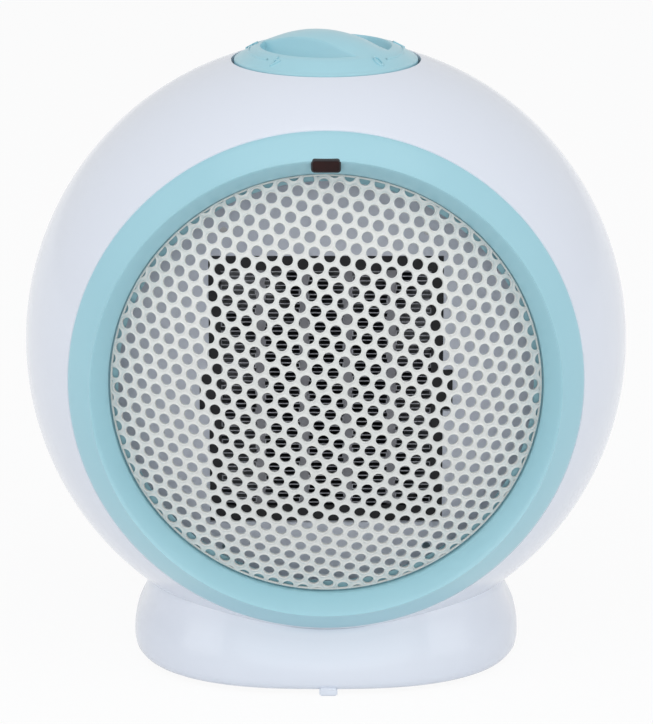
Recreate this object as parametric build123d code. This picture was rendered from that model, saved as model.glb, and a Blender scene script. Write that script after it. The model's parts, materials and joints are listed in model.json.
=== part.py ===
from build123d import *
import math
import os

# Ceramic fan heater with a ball shaped head on a low stand.
# Millimetres, +Z up, front towards -Y, origin on the floor under the centre of the ball.

# Head
head_radius = 115.0
ball_clearance = 5.0
shell_wall = 2.5
seam_y = 10.0
rear_cut_drop = 31.0
rear_wall = 2.5
lip_depth = 6.0
lip_wall = 1.6
part_gap = 0.2
over = 1.0
intake_margin = 8.8
slot_height = 3.6
slot_pitch = 7.6
slot_rib = 6.0
slot_shortest = 14.0

# Front ring and grille
ring_inset = 19.5
ring_band = 9.0
ring_slope_width = 6.4
ring_slope_drop = 7.8
ring_wall = 2.2
ring_spigot = 5.8
grille_ledge = 4.0
ledge_wall = 1.6
grille_play = 0.7
grille_crown = 10.8
grille_sink = 1.6
grille_sheet = 0.8
grille_hole = 8.3
grille_pitch = 11.8
grille_turn = -14.5
grille_solid_rim = 1.2

# Indicator
lens_width = 10.5
lens_height = 5.0
lens_depth = 9.0
lens_corner = 1.2
lens_tilt = 15.0
lens_drop = 0.8
lamp_radius = 2.0
lamp_length = 9.0

# Baffle, heating element and duct
baffle_y = -52.0
baffle_wall = 2.0
baffle_margin = 12.0
core_width_share = 0.974
core_height_share = 1.136
core_drop = 6.0
outlet_side = 4.5
outlet_end = 6.0
notch_width = 3.6
notch_height = 16.0
frame_border = 4.1
element_depth = 16.0
fin_columns = 5
bar_width = 3.2
fin_pitch = 1.75
fin_sheet = 0.35
fin_depth = 13.0
bar_depth = 11.0
duct_wall = 2.0
duct_play = 0.3
duct_back_y = -24.0
disc_margin = 7.0
disc_screw_inset = 8.0
ear_inset = 10.0
ear_margin = 3.0
ear_length = 8.0
stop_width = 8.0
tab_width = 6.0
tab_height = 12.0
tab_sheet = 0.8
tab_setback = 6.0
tab_clearance = 2.0

# Fan and motor
shroud_radius = 58.0
shroud_wall = 2.0
shroud_depth = 30.0
spider_wall = 3.0
spider_hub = 28.0
spider_arm = 8.0
post_height = 6.0
post_radius = 4.5
fan_tip_radius = 54.0
fan_hub_radius = 16.0
fan_front_y = -17.0
fan_depth = 19.0
fan_wall = 1.6
fan_nose = 4.0
fan_sleeve = 3.0
fan_blades = 7
blade_chord = 26.0
blade_pitch_angle = 38.0
shaft_radius = 2.0
shaft_tail = 3.0
running_gap = 0.05
bearing_radius = 5.0
bearing_length = 8.0
bearing_relief = 2.0
bracket_wall = 5.0
bracket_width = 52.0
bracket_height = 16.0
stator_depth = 14.0
stator_width = 52.0
stator_above = 26.0
stator_below = 50.0
rotor_radius = 12.6
air_gap = 0.4
rotor_setback = 0.6
motor_screw_x = 20.0
window_width = 28.0
window_top = 22.0
window_height = 18.0
coil_width = 27.0
coil_side = 9.0
coil_below = 9.0
coil_above = 11.0
coil_round = 3.0

# Knob, dish and thermostat
knob_radius = 34.7
knob_well_gap = 1.0
knob_rise = 5.1
knob_dome_radius = 61.6
knob_wall = 2.4
knob_skirt = 19.1
ridge_half = 8.6
ridge_turn = -42.0
hollow_radius = 26.5
hollow_depth = 11.5
knob_hub_radius = 6.5
knob_hub_gap = 0.5
dish_gap = 4.0
dish_wall = 2.0
dish_flange = 7.0
bush_radius = 4.5
bush_length = 5.5
nut_across = 13.0
nut_height = 2.0
body_width = 32.0
body_depth = 24.0
body_height = 13.0
dial_shaft_radius = 3.0
shaft_cover = 4.2
case_floor = 4.0

# Stand
stand_half_width = 74.5
stand_half_depth = 70.0
stand_side_arc = 136.0
stand_front_arc = 130.0
stand_corner = 52.0
stand_lift = 1.7
stand_skirt = 8.3
stand_lean = 12.0
stand_rise = 26.0
rim_height = 24.6
rim_rise = 0.19
stand_wall = 2.5
ring_gap = 0.3
cradle_opening = 34.0
base_boss_height = 14.0
plate_wall = 2.5
foot_width = 7.0
foot_depth = 6.0
foot_reach = 68.0
rear_foot_x = 45.0
rear_foot_y = 46.0
foot_peg = 1.2
gland_radius = 6.0
gland_bore = 3.4
gland_length = 12.0
gland_flange = 8.0
gland_flange_wall = 2.0
gland_height = 12.0
block_width = 30.0
block_depth = 14.0
block_height = 7.5
block_y = 52.0
block_screw_radius = 2.0
block_screw_depth = 3.0
switch_width = 20.0
switch_depth = 12.0
switch_height = 7.5
switch_x = -56.0
switch_y = 0.0
plunger_radius = 2.5
plunger_travel = 4.0
plunger_flange = 3.1
plunger_flange_wall = 1.0
switch_roof = 1.5
lead_hole = 12.0

# Fasteners
screw_radius = 1.5
screw_head_radius = 2.9
screw_head_height = 1.8
screw_play = 0.3
flat_head_height = 1.26
boss_radius = 4.5
rib_wall = 3.0
ring_screw_margin = 5.0
ring_screw_bite = 6.0
shell_screw_inset = 16.3
shell_screw_spare = 2.0
head_screw_offset = 32.5
base_screw_offset = 50.0
base_screw_y = -28.0
base_screw_step = 4.0
base_screw_bite = 8.0
head_screw_length = 20.0
head_seat_lift = 0.8
foot_boss_height = 24.0
screw_end_gap = 1.0
boss_relief = 2.0
clamp_length = 14.0

# Derived places
head_height = head_radius + ball_clearance
inner_radius = head_radius - shell_wall
rear_cut_y = head_radius - rear_cut_drop
ring_outer_radius = head_radius - ring_inset
ring_crest_radius = ring_outer_radius - ring_band
ring_inner_radius = ring_crest_radius - ring_slope_width
ring_screw_radius = ring_inner_radius + ring_screw_margin
shell_screw_radius = inner_radius - shell_screw_inset
lip_y = -math.sqrt(head_radius**2 - ring_outer_radius**2)
crest_y = -math.sqrt(head_radius**2 - ring_crest_radius**2)
slope_y = crest_y + ring_slope_drop
mouth_radius = math.sqrt(inner_radius**2 - lip_y**2)
grille_radius = ring_inner_radius - grille_play
grille_apex_y = crest_y - grille_crown
grille_rise = grille_crown + ring_slope_drop + grille_sink
grille_dome_radius = (grille_radius**2 + grille_rise**2) / (2 * grille_rise)
dome_centre_y = grille_apex_y + grille_dome_radius
ledge_y = dome_centre_y - math.sqrt((grille_dome_radius - grille_sheet) ** 2 - grille_radius**2)
well_radius = knob_radius + knob_well_gap
knob_apex = head_radius + knob_rise
knob_base_z = knob_apex - knob_skirt
knob_centre_z = knob_apex - knob_dome_radius
hollow_floor_z = knob_apex - hollow_depth
dial_shaft_top = knob_apex - shaft_cover
dish_floor_z = knob_base_z - dish_gap
baffle_radius = ring_inner_radius + baffle_margin
baffle_back_y = baffle_y + baffle_wall
element_back_y = baffle_back_y + element_depth
core_width = ring_inner_radius * core_width_share
core_height = ring_inner_radius * core_height_share
outlet_width = core_width + 2 * outlet_side
outlet_height = core_height + 2 * outlet_end
frame_width = outlet_width + 2 * frame_border
frame_height = outlet_height + 2 * frame_border
disc_radius = ring_inner_radius + disc_margin
disc_screw_radius = disc_radius - disc_screw_inset
disc_back_y = duct_back_y + duct_wall
shroud_back_y = disc_back_y + shroud_depth
spider_back_y = shroud_back_y + spider_wall
post_back_y = spider_back_y + post_height
stator_front_y = post_back_y + bracket_wall
stator_back_y = stator_front_y + stator_depth
column_width = (core_width - (fin_columns - 1) * bar_width) / fin_columns
plate_top_z = stand_lift + plate_wall


def axis_y(radius, y_from, y_to, x=0.0, z=0.0):
    """Round bar along Y."""
    bar = Rot(-90, 0, 0) * Cylinder(radius, y_to - y_from, align=(Align.CENTER, Align.CENTER, Align.MIN))
    return Pos(x, y_from, z) * bar


def axis_z(radius, z_from, z_to, x=0.0, y=0.0):
    """Round bar along Z."""
    return Pos(x, y, z_from) * Cylinder(radius, z_to - z_from, align=(Align.CENTER, Align.CENTER, Align.MIN))


def block(x_from, x_to, y_from, y_to, z_from, z_to):
    """Box between two corners."""
    box = Box(x_to - x_from, y_to - y_from, z_to - z_from, align=(Align.MIN, Align.MIN, Align.MIN))
    return Pos(x_from, y_from, z_from) * box


def solids_of(shape):
    """The solids of a shape as one compound, in one flat list."""
    return Compound(children=[Solid(s.wrapped) for s in shape.solids()])


def save(name, shape, in_head=True):
    """Writes one node, moving pieces drawn about the head's centre up to its height."""
    placed = Pos(0, 0, head_height) * shape if in_head else shape
    found = placed.solids()
    export_step(found[0] if len(found) == 1 else solids_of(placed), f"parts/{name}.step")


def quarter_places(radius):
    """Four places at 45 degrees on a circle in the XZ plane."""
    turns = [45, 135, 225, 315]
    return [(radius * math.cos(math.radians(t)), radius * math.sin(math.radians(t)), t) for t in turns]


def shell_screw_places():
    """Four places of the screws that join the two shells."""
    return quarter_places(shell_screw_radius)


def head_screw_places():
    """Four places of the screws between the stand and the head."""
    far = head_screw_offset
    return [(far, far), (-far, far), (-far, -far), (far, -far)]


def on_ball(radius, y):
    """Distance from the head's axis of a point on a ball at one depth."""
    return math.sqrt(radius**2 - y**2)


def arc_on_ball(radius, y_from, y_to):
    """Arc of a ball's outline between two depths."""
    middle = (y_from + y_to) / 2
    ends = [(on_ball(radius, y), y) for y in (y_from, middle, y_to)]
    return ThreePointArc(*ends)


def turned(edges):
    """Solid turned about the head's axis from a closed outline."""
    return revolve(make_face(edges), axis=Axis.Y)


def pierced(shell):
    """Cuts the hole for the knob and the hole for the leads."""
    shell -= axis_z(well_radius, 0, head_radius + over)
    return shell - axis_z(lead_hole, -head_radius - over, 0)


def web(turn, y_from, y_to, start):
    """Rib that ties a boss to the wall of the ball."""
    rib = block(start, inner_radius + over, y_from, y_to, -rib_wall / 2, rib_wall / 2)
    return Rot(0, -turn, 0) * rib


def foot_boss(x, y):
    """Boss inside the head for a screw that comes up from the stand."""
    post = axis_z(boss_radius, -inner_radius, foot_boss_height - inner_radius, x, y)
    return post & Sphere(inner_radius + over)


def front_shell():
    edges = arc_on_ball(head_radius, lip_y, seam_y)
    edges += Line((on_ball(head_radius, seam_y), seam_y), (on_ball(inner_radius, seam_y), seam_y))
    edges += arc_on_ball(inner_radius, seam_y, lip_y)
    edges += Line((mouth_radius, lip_y), (ring_outer_radius, lip_y))
    shell = pierced(turned(edges))
    bosses = None
    for x, z, turn in quarter_places(ring_screw_radius):
        post = axis_y(boss_radius, baffle_back_y, baffle_back_y + clamp_length, x, z)
        post += web(turn, baffle_back_y, baffle_back_y + clamp_length, ring_screw_radius)
        bosses = post if bosses is None else bosses + post
    for x, z, turn in shell_screw_places():
        post = axis_y(boss_radius, seam_y - clamp_length, seam_y, x, z)
        post += web(turn, seam_y - clamp_length, seam_y, shell_screw_radius)
        bosses += post
    for x, y in head_screw_places():
        if y < 0:
            bosses += foot_boss(x, y)
    shell += bosses & Sphere(inner_radius + over)
    for x, z, turn in quarter_places(ring_screw_radius):
        shell -= axis_y(screw_radius, baffle_back_y - over, baffle_back_y + clamp_length + over, x, z)
    for x, z, turn in shell_screw_places():
        shell -= axis_y(screw_radius, seam_y - clamp_length - over, seam_y + over, x, z)
    for x, y in head_screw_places():
        shell -= axis_z(screw_radius, -head_radius, over - inner_radius + foot_boss_height, x, y)
    return shell


def intake_slots():
    """Slots of the rear intake, in two columns beside a middle rib."""
    cutters = []
    reach = on_ball(inner_radius, rear_cut_y) - intake_margin
    rows = int(reach / slot_pitch)
    for row in range(-rows, rows + 1):
        z = row * slot_pitch
        half = math.sqrt(reach**2 - z**2)
        if half < slot_shortest:
            continue
        for side in (-1, 1):
            low = min(side * slot_rib / 2, side * half)
            high = max(side * slot_rib / 2, side * half)
            y_high = rear_cut_y + rear_wall + over
            cutters.append(block(low, high, rear_cut_y - over, y_high,
                                 z - slot_height / 2, z + slot_height / 2))
    return cutters


def rear_shell():
    lip_outer = on_ball(inner_radius, seam_y) - part_gap
    lip_inner = lip_outer - lip_wall
    lip_front = seam_y - lip_depth
    root_y = seam_y + lip_wall
    back_y = rear_cut_y + rear_wall
    edges = arc_on_ball(head_radius, seam_y, rear_cut_y)
    edges += Polyline((on_ball(head_radius, rear_cut_y), rear_cut_y), (on_ball(head_radius, back_y), back_y),
                      (0, back_y), (0, rear_cut_y), (on_ball(inner_radius, rear_cut_y), rear_cut_y))
    edges += arc_on_ball(inner_radius, rear_cut_y, root_y)
    edges += Polyline((on_ball(inner_radius, root_y), root_y), (lip_inner, root_y), (lip_inner, lip_front),
                      (lip_outer, lip_front), (lip_outer, seam_y), (on_ball(head_radius, seam_y), seam_y))
    shell = pierced(turned(edges))
    shell -= intake_slots()
    shell -= axis_z(well_radius + dish_flange + over, 0, head_radius) & Sphere(inner_radius)
    for x, z, turn in shell_screw_places():
        shell -= axis_y(boss_radius + boss_relief, lip_front - over, seam_y, x, z)
        relief = block(shell_screw_radius, inner_radius, lip_front - over, seam_y, -rib_wall, rib_wall)
        shell -= Rot(0, -turn, 0) * relief
    for x, z, turn in shell_screw_places():
        post = axis_y(boss_radius, seam_y, rear_cut_y, x, z)
        post += web(turn, seam_y, rear_cut_y, shell_screw_radius)
        shell += post & Sphere(inner_radius + over)
    for x, y in head_screw_places():
        if y > 0:
            shell += foot_boss(x, y)
    for x, z, turn in shell_screw_places():
        shell -= axis_y(screw_radius, seam_y - over, seam_y + clamp_length, x, z)
        shell -= axis_y(screw_head_radius + screw_play, seam_y + clamp_length, rear_cut_y, x, z)
    for x, y in head_screw_places():
        shell -= axis_z(screw_radius, -head_radius, over - inner_radius + foot_boss_height, x, y)
    return shell


def lens_plane():
    """Plane of the lens face. Its upper edge lies near the ring's crest, and it leans forward."""
    lean = math.radians(lens_tilt)
    up = Vector(0, -math.sin(lean), math.cos(lean))
    normal = (0, -math.cos(lean), -math.sin(lean))
    middle = Vector(0, crest_y, ring_crest_radius - lens_drop) - up * (lens_height / 2)
    return Plane(origin=middle, x_dir=(1, 0, 0), z_dir=normal)


def lens_block(extra, above, below):
    """Rounded block through the ring's slope, grown by a gap."""
    outline = RectangleRounded(lens_width + 2 * extra, lens_height + 2 * extra, lens_corner + extra)
    return lens_plane() * (Pos(0, 0, -below) * extrude(outline, above + below))


def front_ring():
    """Aqua ring, turned about the head's axis, with the ledge that carries the grille."""
    skin_radius = head_radius - ring_wall
    spigot_outer = mouth_radius - part_gap
    spigot_inner = spigot_outer - ring_wall
    back_y = lip_y + ring_spigot
    skin_y = -math.sqrt(skin_radius**2 - spigot_inner**2)
    seat_radius = ring_inner_radius - grille_ledge
    root_radius = ring_inner_radius + ring_wall
    crest_inner_radius = ring_crest_radius + ring_wall / 4
    crest_inner_y = -math.sqrt(skin_radius**2 - crest_inner_radius**2)
    outer_arc = (ring_outer_radius + ring_crest_radius) / 2
    inner_arc = (spigot_inner + crest_inner_radius) / 2
    outer_mid = (outer_arc, -math.sqrt(head_radius**2 - outer_arc**2))
    inner_mid = (inner_arc, -math.sqrt(skin_radius**2 - inner_arc**2))
    with BuildPart() as ring:
        with BuildSketch(Plane.XY):
            with BuildLine():
                ThreePointArc((ring_outer_radius, lip_y), outer_mid, (ring_crest_radius, crest_y))
                Line((ring_crest_radius, crest_y), (ring_inner_radius, slope_y))
                Line((ring_inner_radius, slope_y), (ring_inner_radius, ledge_y))
                Line((ring_inner_radius, ledge_y), (seat_radius, ledge_y))
                Line((seat_radius, ledge_y), (seat_radius, ledge_y + ledge_wall))
                Line((seat_radius, ledge_y + ledge_wall), (root_radius, ledge_y + ledge_wall))
                Line((root_radius, ledge_y + ledge_wall), (crest_inner_radius, crest_inner_y))
                ThreePointArc((crest_inner_radius, crest_inner_y), inner_mid, (spigot_inner, skin_y))
                Line((spigot_inner, skin_y), (spigot_inner, back_y))
                Line((spigot_inner, back_y), (spigot_outer, back_y))
                Line((spigot_outer, back_y), (spigot_outer, lip_y))
                Line((spigot_outer, lip_y), (ring_outer_radius, lip_y))
            make_face()
        revolve(axis=Axis.Y)
    body = ring.part
    for x, z, turn in quarter_places(ring_screw_radius):
        body += axis_y(boss_radius, ledge_y + ledge_wall - over, baffle_y, x, z)
        body -= axis_y(screw_radius, baffle_y - ring_screw_bite - screw_end_gap, baffle_y + over, x, z)
    return body - lens_block(part_gap, ring_wall, lens_depth + over)


def hole_places():
    """Hole centres of the hexagonal pattern, measured along the sheet before it is domed."""
    rows = int(grille_radius / grille_pitch) + 3
    turn = math.radians(grille_turn)
    places = []
    for i in range(-2 * rows, 2 * rows + 1):
        for j in range(-rows, rows + 1):
            x = grille_pitch * (i + 0.5 * j)
            z = grille_pitch * j * math.sqrt(3) / 2
            if math.hypot(x, z) < grille_radius:
                turned_x = x * math.cos(turn) - z * math.sin(turn)
                turned_z = x * math.sin(turn) + z * math.cos(turn)
                places.append((turned_x, turned_z))
    return places


def front_grille():
    """Domed sheet with a hexagonal pattern of round holes, each square to the dome."""
    inside = grille_dome_radius - grille_sheet
    dome = Sphere(grille_dome_radius) - Sphere(inside)
    dome = Pos(0, dome_centre_y, 0) * dome
    dome = dome & axis_y(grille_radius, grille_apex_y - over, ledge_y + over)
    punches = []
    for x, z in hole_places():
        span = math.hypot(x, z)
        angle = span / grille_dome_radius
        side = math.sin(angle) / span if span > 0 else 0
        direction = Vector(side * x, -math.cos(angle), side * z)
        start = Vector(0, dome_centre_y, 0) + direction * (inside - over)
        if math.hypot(start.X, start.Z) + grille_hole / 2 > grille_radius - grille_solid_rim:
            continue
        reach = grille_sheet + 2 * over
        punch = Cylinder(grille_hole / 2, reach, align=(Align.CENTER, Align.CENTER, Align.MIN))
        punches.append(Plane(origin=start, z_dir=direction) * punch)
    return dome - punches


def indicator_lens():
    return lens_block(0, 0, lens_depth)


def lamp_centre():
    """Centre of the lamp, behind the lens."""
    plane = lens_plane()
    return plane.origin - plane.z_dir * (lens_depth + lamp_radius)


def indicator_lamp():
    lamp = Rot(0, 90, 0) * Cylinder(lamp_radius, lamp_length)
    return Pos(*lamp_centre()) * lamp


def outlet_hole(y_from, y_to):
    """The opening that the element looks through, with a notch in the middle of each side."""
    hole = block(-outlet_width / 2, outlet_width / 2, y_from, y_to,
                 -core_drop - outlet_height / 2, -core_drop + outlet_height / 2)
    side = outlet_width / 2 + notch_width
    return hole + block(-side, side, y_from, y_to, -core_drop - notch_height / 2, -core_drop + notch_height / 2)


def duct_ear_places():
    """Four corners where the duct is screwed to the baffle."""
    side = frame_width / 2 - ear_inset
    top = frame_height / 2 + duct_play + duct_wall + ear_margin
    high = top - core_drop
    low = -top - core_drop
    return [(side, high), (-side, high), (-side, low), (side, low)]


def outlet_baffle():
    plate = axis_y(baffle_radius, baffle_y, baffle_back_y)
    plate -= outlet_hole(baffle_y - over, baffle_back_y + over)
    for x, z, turn in quarter_places(ring_screw_radius):
        plate -= axis_y(screw_radius, baffle_y - over, baffle_back_y + over, x, z)
    for x, z in duct_ear_places():
        plate -= axis_y(screw_radius, baffle_y - over, baffle_back_y + over, x, z)
    return plate


def element_frame():
    """Plastic frame around the heating core."""
    body = block(-frame_width / 2, frame_width / 2, baffle_back_y, element_back_y,
                 -core_drop - frame_height / 2, -core_drop + frame_height / 2)
    body -= block(-core_width / 2, core_width / 2, baffle_back_y - over, element_back_y + over,
                  -core_drop - core_height / 2, -core_drop + core_height / 2)
    return body


def column_centre(index):
    """Middle of one column of fins."""
    return -core_width / 2 + column_width / 2 + index * (column_width + bar_width)


def fin_strip(index):
    """One strip of sheet folded to and fro, between two heating bars."""
    half = column_width / 2
    inner = half - fin_sheet
    fins = int((core_height - fin_sheet) / fin_pitch)
    low = -fins * fin_pitch / 2
    right = [(half, low)]
    left = [(-half, low)]
    for fold in range(fins):
        under = low + fold * fin_pitch + fin_sheet
        over = low + (fold + 1) * fin_pitch
        if fold % 2:
            right += [(half, under), (-inner, under), (-inner, over), (half, over)]
        else:
            left += [(-half, under), (inner, under), (inner, over), (-half, over)]
    top = low + fins * fin_pitch + fin_sheet
    outline = Polyline(*right, (half, top), (-half, top), *reversed(left), close=True)
    strip = extrude(Plane.XZ * make_face(outline), fin_depth / 2, both=True)
    middle_y = (baffle_back_y + element_back_y) / 2
    return Pos(column_centre(index), middle_y, -core_drop - fin_sheet / 2) * strip


def ptc_bar(index):
    """One heating bar, the stones with their electrodes."""
    x = column_centre(index) + column_width / 2
    middle_y = (baffle_back_y + element_back_y) / 2
    return block(x, x + bar_width, middle_y - bar_depth / 2, middle_y + bar_depth / 2,
                 -core_drop - core_height / 2, -core_drop + core_height / 2)


def element_terminals():
    """Flat tabs on top of the frame, one to each heating stage and one shared."""
    top = -core_drop + frame_height / 2 + duct_play + duct_wall
    tabs = []
    for index in range(3):
        x = column_centre(index + 1)
        y = element_back_y - tab_setback
        tabs.append(block(x - tab_width / 2, x + tab_width / 2, y, y + tab_sheet,
                          -core_drop + frame_height / 2, top + tab_height))
    return Compound(children=tabs)


def air_duct():
    """Box around the element and the disc that meets the fan shroud."""
    inner_w = frame_width / 2 + duct_play
    inner_h = frame_height / 2 + duct_play
    outer_w = inner_w + duct_wall
    outer_h = inner_h + duct_wall
    tube = block(-outer_w, outer_w, baffle_back_y, duct_back_y, -core_drop - outer_h, -core_drop + outer_h)
    tube -= block(-inner_w, inner_w, baffle_back_y - over, duct_back_y + over,
                  -core_drop - inner_h, -core_drop + inner_h)
    tube += axis_y(disc_radius, duct_back_y, disc_back_y)
    tube -= axis_y(shroud_radius, duct_back_y - over, disc_back_y + over)
    for side in (-1, 1):
        stop_x = side * (frame_width - stop_width) / 2
        stop_low = stop_x - stop_width / 2
        stop_high = stop_x + stop_width / 2
        tube += block(stop_low, stop_high, element_back_y, duct_back_y,
                      -core_drop + frame_height / 2 - stop_width, -core_drop + outer_h)
        tube += block(stop_low, stop_high, element_back_y, duct_back_y,
                      -core_drop - outer_h, -core_drop - frame_height / 2 + stop_width)
    for x, z in duct_ear_places():
        tube += axis_y(boss_radius, baffle_back_y, baffle_back_y + ear_length, x, z)
        tube -= axis_y(screw_radius, baffle_back_y - over, baffle_back_y + ear_length + over, x, z)
    for index in range(3):
        x = column_centre(index + 1)
        half = tab_width / 2 + tab_clearance
        y = element_back_y - tab_setback
        tube -= block(x - half, x + half, y - tab_clearance, y + tab_sheet + tab_clearance,
                      -core_drop + frame_height / 2 - over, -core_drop + outer_h + over)
    for x, z, turn in quarter_places(disc_screw_radius):
        tube -= axis_y(screw_radius, duct_back_y - over, disc_back_y + over, x, z)
    return tube


def fan_shroud():
    """Round wall around the fan, with three arms that carry the motor."""
    body = axis_y(disc_radius - part_gap, disc_back_y, disc_back_y + shroud_wall)
    body += axis_y(shroud_radius + shroud_wall, disc_back_y, spider_back_y)
    body -= axis_y(shroud_radius, disc_back_y - over, spider_back_y + over)
    arm_reach = shroud_radius + shroud_wall / 2
    for turn in (90, 210, 330):
        arm = block(spider_hub - spider_wall, arm_reach, shroud_back_y, spider_back_y,
                    -spider_arm / 2, spider_arm / 2)
        body += Rot(0, -turn, 0) * arm
    body += axis_y(spider_hub, shroud_back_y, spider_back_y)
    for side in (-1, 1):
        body += axis_y(post_radius, spider_back_y, post_back_y, side * motor_screw_x, 0)
    body -= axis_y(bearing_radius + bearing_relief, shroud_back_y - over, spider_back_y + over)
    for side in (-1, 1):
        body -= axis_y(screw_radius, shroud_back_y - over, post_back_y + over, side * motor_screw_x, 0)
    for x, z, turn in quarter_places(disc_screw_radius):
        body -= axis_y(screw_radius, disc_back_y - over, disc_back_y + shroud_wall + over, x, z)
    return body


def bearing_bracket(y_from):
    """Bridge across the stator that holds one bearing."""
    bridge = block(-bracket_width / 2, bracket_width / 2, y_from, y_from + bracket_wall,
                   -bracket_height / 2, bracket_height / 2)
    bridge -= axis_y(bearing_radius, y_from - over, y_from + bracket_wall + over)
    for side in (-1, 1):
        bridge -= axis_y(screw_radius, y_from - over, y_from + bracket_wall + over, side * motor_screw_x, 0)
    return bridge


def bearing(y_from):
    """Plain bearing with a running fit on the shaft."""
    bush = axis_y(bearing_radius, y_from, y_from + bearing_length)
    return bush - axis_y(shaft_radius + running_gap, y_from - over, y_from + bearing_length + over)


def stator():
    """Laminated core of the shaded pole motor."""
    core = block(-stator_width / 2, stator_width / 2, stator_front_y, stator_back_y,
                 -stator_below, stator_above)
    core -= axis_y(rotor_radius + air_gap, stator_front_y - over, stator_back_y + over)
    core -= block(-window_width / 2, window_width / 2, stator_front_y - over, stator_back_y + over,
                  -window_top - window_height, -window_top)
    for side in (-1, 1):
        core -= axis_y(screw_radius, stator_front_y - over, stator_back_y + over, side * motor_screw_x, 0)
    return core


def motor_coil():
    """Winding around the lower limb of the core."""
    limb_top = -window_top - window_height
    coil_top = limb_top + coil_above
    coil_low = -stator_below - coil_below
    coil = block(-coil_width / 2, coil_width / 2, stator_front_y - coil_side, stator_back_y + coil_side,
                 coil_low, coil_top)
    coil = fillet(coil.edges().filter_by(Axis.X), coil_round)
    return coil - block(-coil_width, coil_width, stator_front_y, stator_back_y, -stator_below, limb_top)


def rotor():
    body = axis_y(rotor_radius, stator_front_y + rotor_setback, stator_back_y - rotor_setback)
    return body - axis_y(shaft_radius, stator_front_y, stator_back_y)


def motor_shaft():
    return axis_y(shaft_radius, fan_front_y + fan_nose, stator_back_y + bearing_length + shaft_tail)


def impeller():
    """Axial fan with a closed nose and pitched blades."""
    back_y = fan_front_y + fan_depth
    hub = axis_y(fan_hub_radius, fan_front_y, back_y)
    hub -= axis_y(fan_hub_radius - fan_wall, fan_front_y + fan_wall, back_y + over)
    hub += axis_y(shaft_radius + fan_sleeve, fan_front_y + fan_wall / 2, back_y)
    middle_y = (fan_front_y + back_y) / 2
    blades = None
    for index in range(fan_blades):
        span = fan_tip_radius + fan_wall - fan_hub_radius
        blade = Box(span, blade_chord, fan_wall, align=(Align.MIN, Align.CENTER, Align.CENTER))
        blade = Pos(fan_hub_radius - fan_wall / 2, middle_y, 0) * (Rot(blade_pitch_angle, 0, 0) * blade)
        blade = Rot(0, index * 360 / fan_blades, 0) * blade
        blades = blade if blades is None else blades + blade
    envelope = axis_y(fan_tip_radius, fan_front_y, back_y)
    envelope -= axis_y(fan_hub_radius - fan_wall / 2, fan_front_y, back_y)
    body = hub + (blades & envelope)
    return body - axis_y(shaft_radius, fan_front_y + fan_nose, back_y + over)


def control_dish():
    """Cup under the knob, trapped between the two shells."""
    outer = well_radius + dish_wall
    cup = axis_z(outer, dish_floor_z, head_radius)
    cup -= axis_z(well_radius, dish_floor_z + dish_wall, head_radius + over)
    cup = cup & Sphere(inner_radius)
    flange = axis_z(well_radius + dish_flange, 0, head_radius)
    flange -= axis_z(outer - dish_wall / 4, 0, head_radius)
    flange = flange & (Sphere(inner_radius) - Sphere(inner_radius - dish_wall))
    cup += flange
    return cup - axis_z(bush_radius, dish_floor_z - over, dish_floor_z + dish_wall + over)


def thermostat_body():
    """Thermostat case with its threaded bush."""
    low = dish_floor_z - body_height
    case = block(-body_width / 2, body_width / 2, -body_depth / 2, body_depth / 2, low, dish_floor_z)
    case += axis_z(bush_radius, dish_floor_z - over, dish_floor_z + bush_length)
    return case - axis_z(dial_shaft_radius + running_gap, low + case_floor, dish_floor_z + bush_length + over)


def thermostat_nut():
    hexagon = RegularPolygon(nut_across / 2, 6, major_radius=False)
    nut = Pos(0, 0, dish_floor_z + dish_wall) * extrude(hexagon, nut_height)
    return nut - axis_z(bush_radius, dish_floor_z, dish_floor_z + dish_wall + nut_height + over)


def thermostat_shaft():
    return axis_z(dial_shaft_radius, dish_floor_z - body_height + case_floor + over, dial_shaft_top)


def grip_hollow(side):
    """One of the two finger hollows beside the grip ridge."""
    scoop = axis_z(hollow_radius, hollow_floor_z, knob_apex)
    keep = block(-hollow_radius, hollow_radius, ridge_half, hollow_radius, hollow_floor_z, knob_apex)
    return Rot(0, 0, ridge_turn + side * 180) * (scoop & keep)


def control_knob():
    """Domed knob. Two finger hollows leave a grip ridge between them, over a hub on the shaft."""
    top = Pos(0, 0, knob_centre_z) * Sphere(knob_dome_radius)
    under = Pos(0, 0, knob_centre_z) * Sphere(knob_dome_radius - knob_wall)
    body = axis_z(knob_radius, knob_base_z, knob_apex) & top
    body -= axis_z(knob_radius - knob_wall, knob_base_z - over, knob_apex) & under
    body += axis_z(hollow_radius + knob_wall, hollow_floor_z - knob_wall, knob_apex) & top
    body += axis_z(knob_hub_radius, dish_floor_z + bush_length + knob_hub_gap, hollow_floor_z)
    body -= [grip_hollow(0), grip_hollow(1)]
    return body - axis_z(dial_shaft_radius, dish_floor_z, dial_shaft_top)


def stand_outline(inset=0.0):
    """Rounded outline of the stand, wider than it is deep."""
    side_x = stand_side_arc - stand_half_width
    front_y = stand_front_arc - stand_half_depth
    face = Pos(side_x, 0) * Circle(stand_side_arc - inset)
    face = face & (Pos(-side_x, 0) * Circle(stand_side_arc - inset))
    face = face & (Pos(0, front_y) * Circle(stand_front_arc - inset))
    face = face & (Pos(0, -front_y) * Circle(stand_front_arc - inset))
    return fillet(face.vertices(), stand_corner - inset)


def stand_drum(inset, z_from):
    """Solid stand form, upright at the foot and leaning in above."""
    skirt_top = stand_lift + stand_skirt
    outline = stand_outline(inset)
    shrink = stand_rise * math.tan(math.radians(stand_lean))
    foot = Pos(0, 0, skirt_top) * outline
    crown = Pos(0, 0, skirt_top + stand_rise) * stand_outline(inset + shrink)
    return Pos(0, 0, z_from) * extrude(outline, skirt_top - z_from) + loft([foot, crown])


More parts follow.
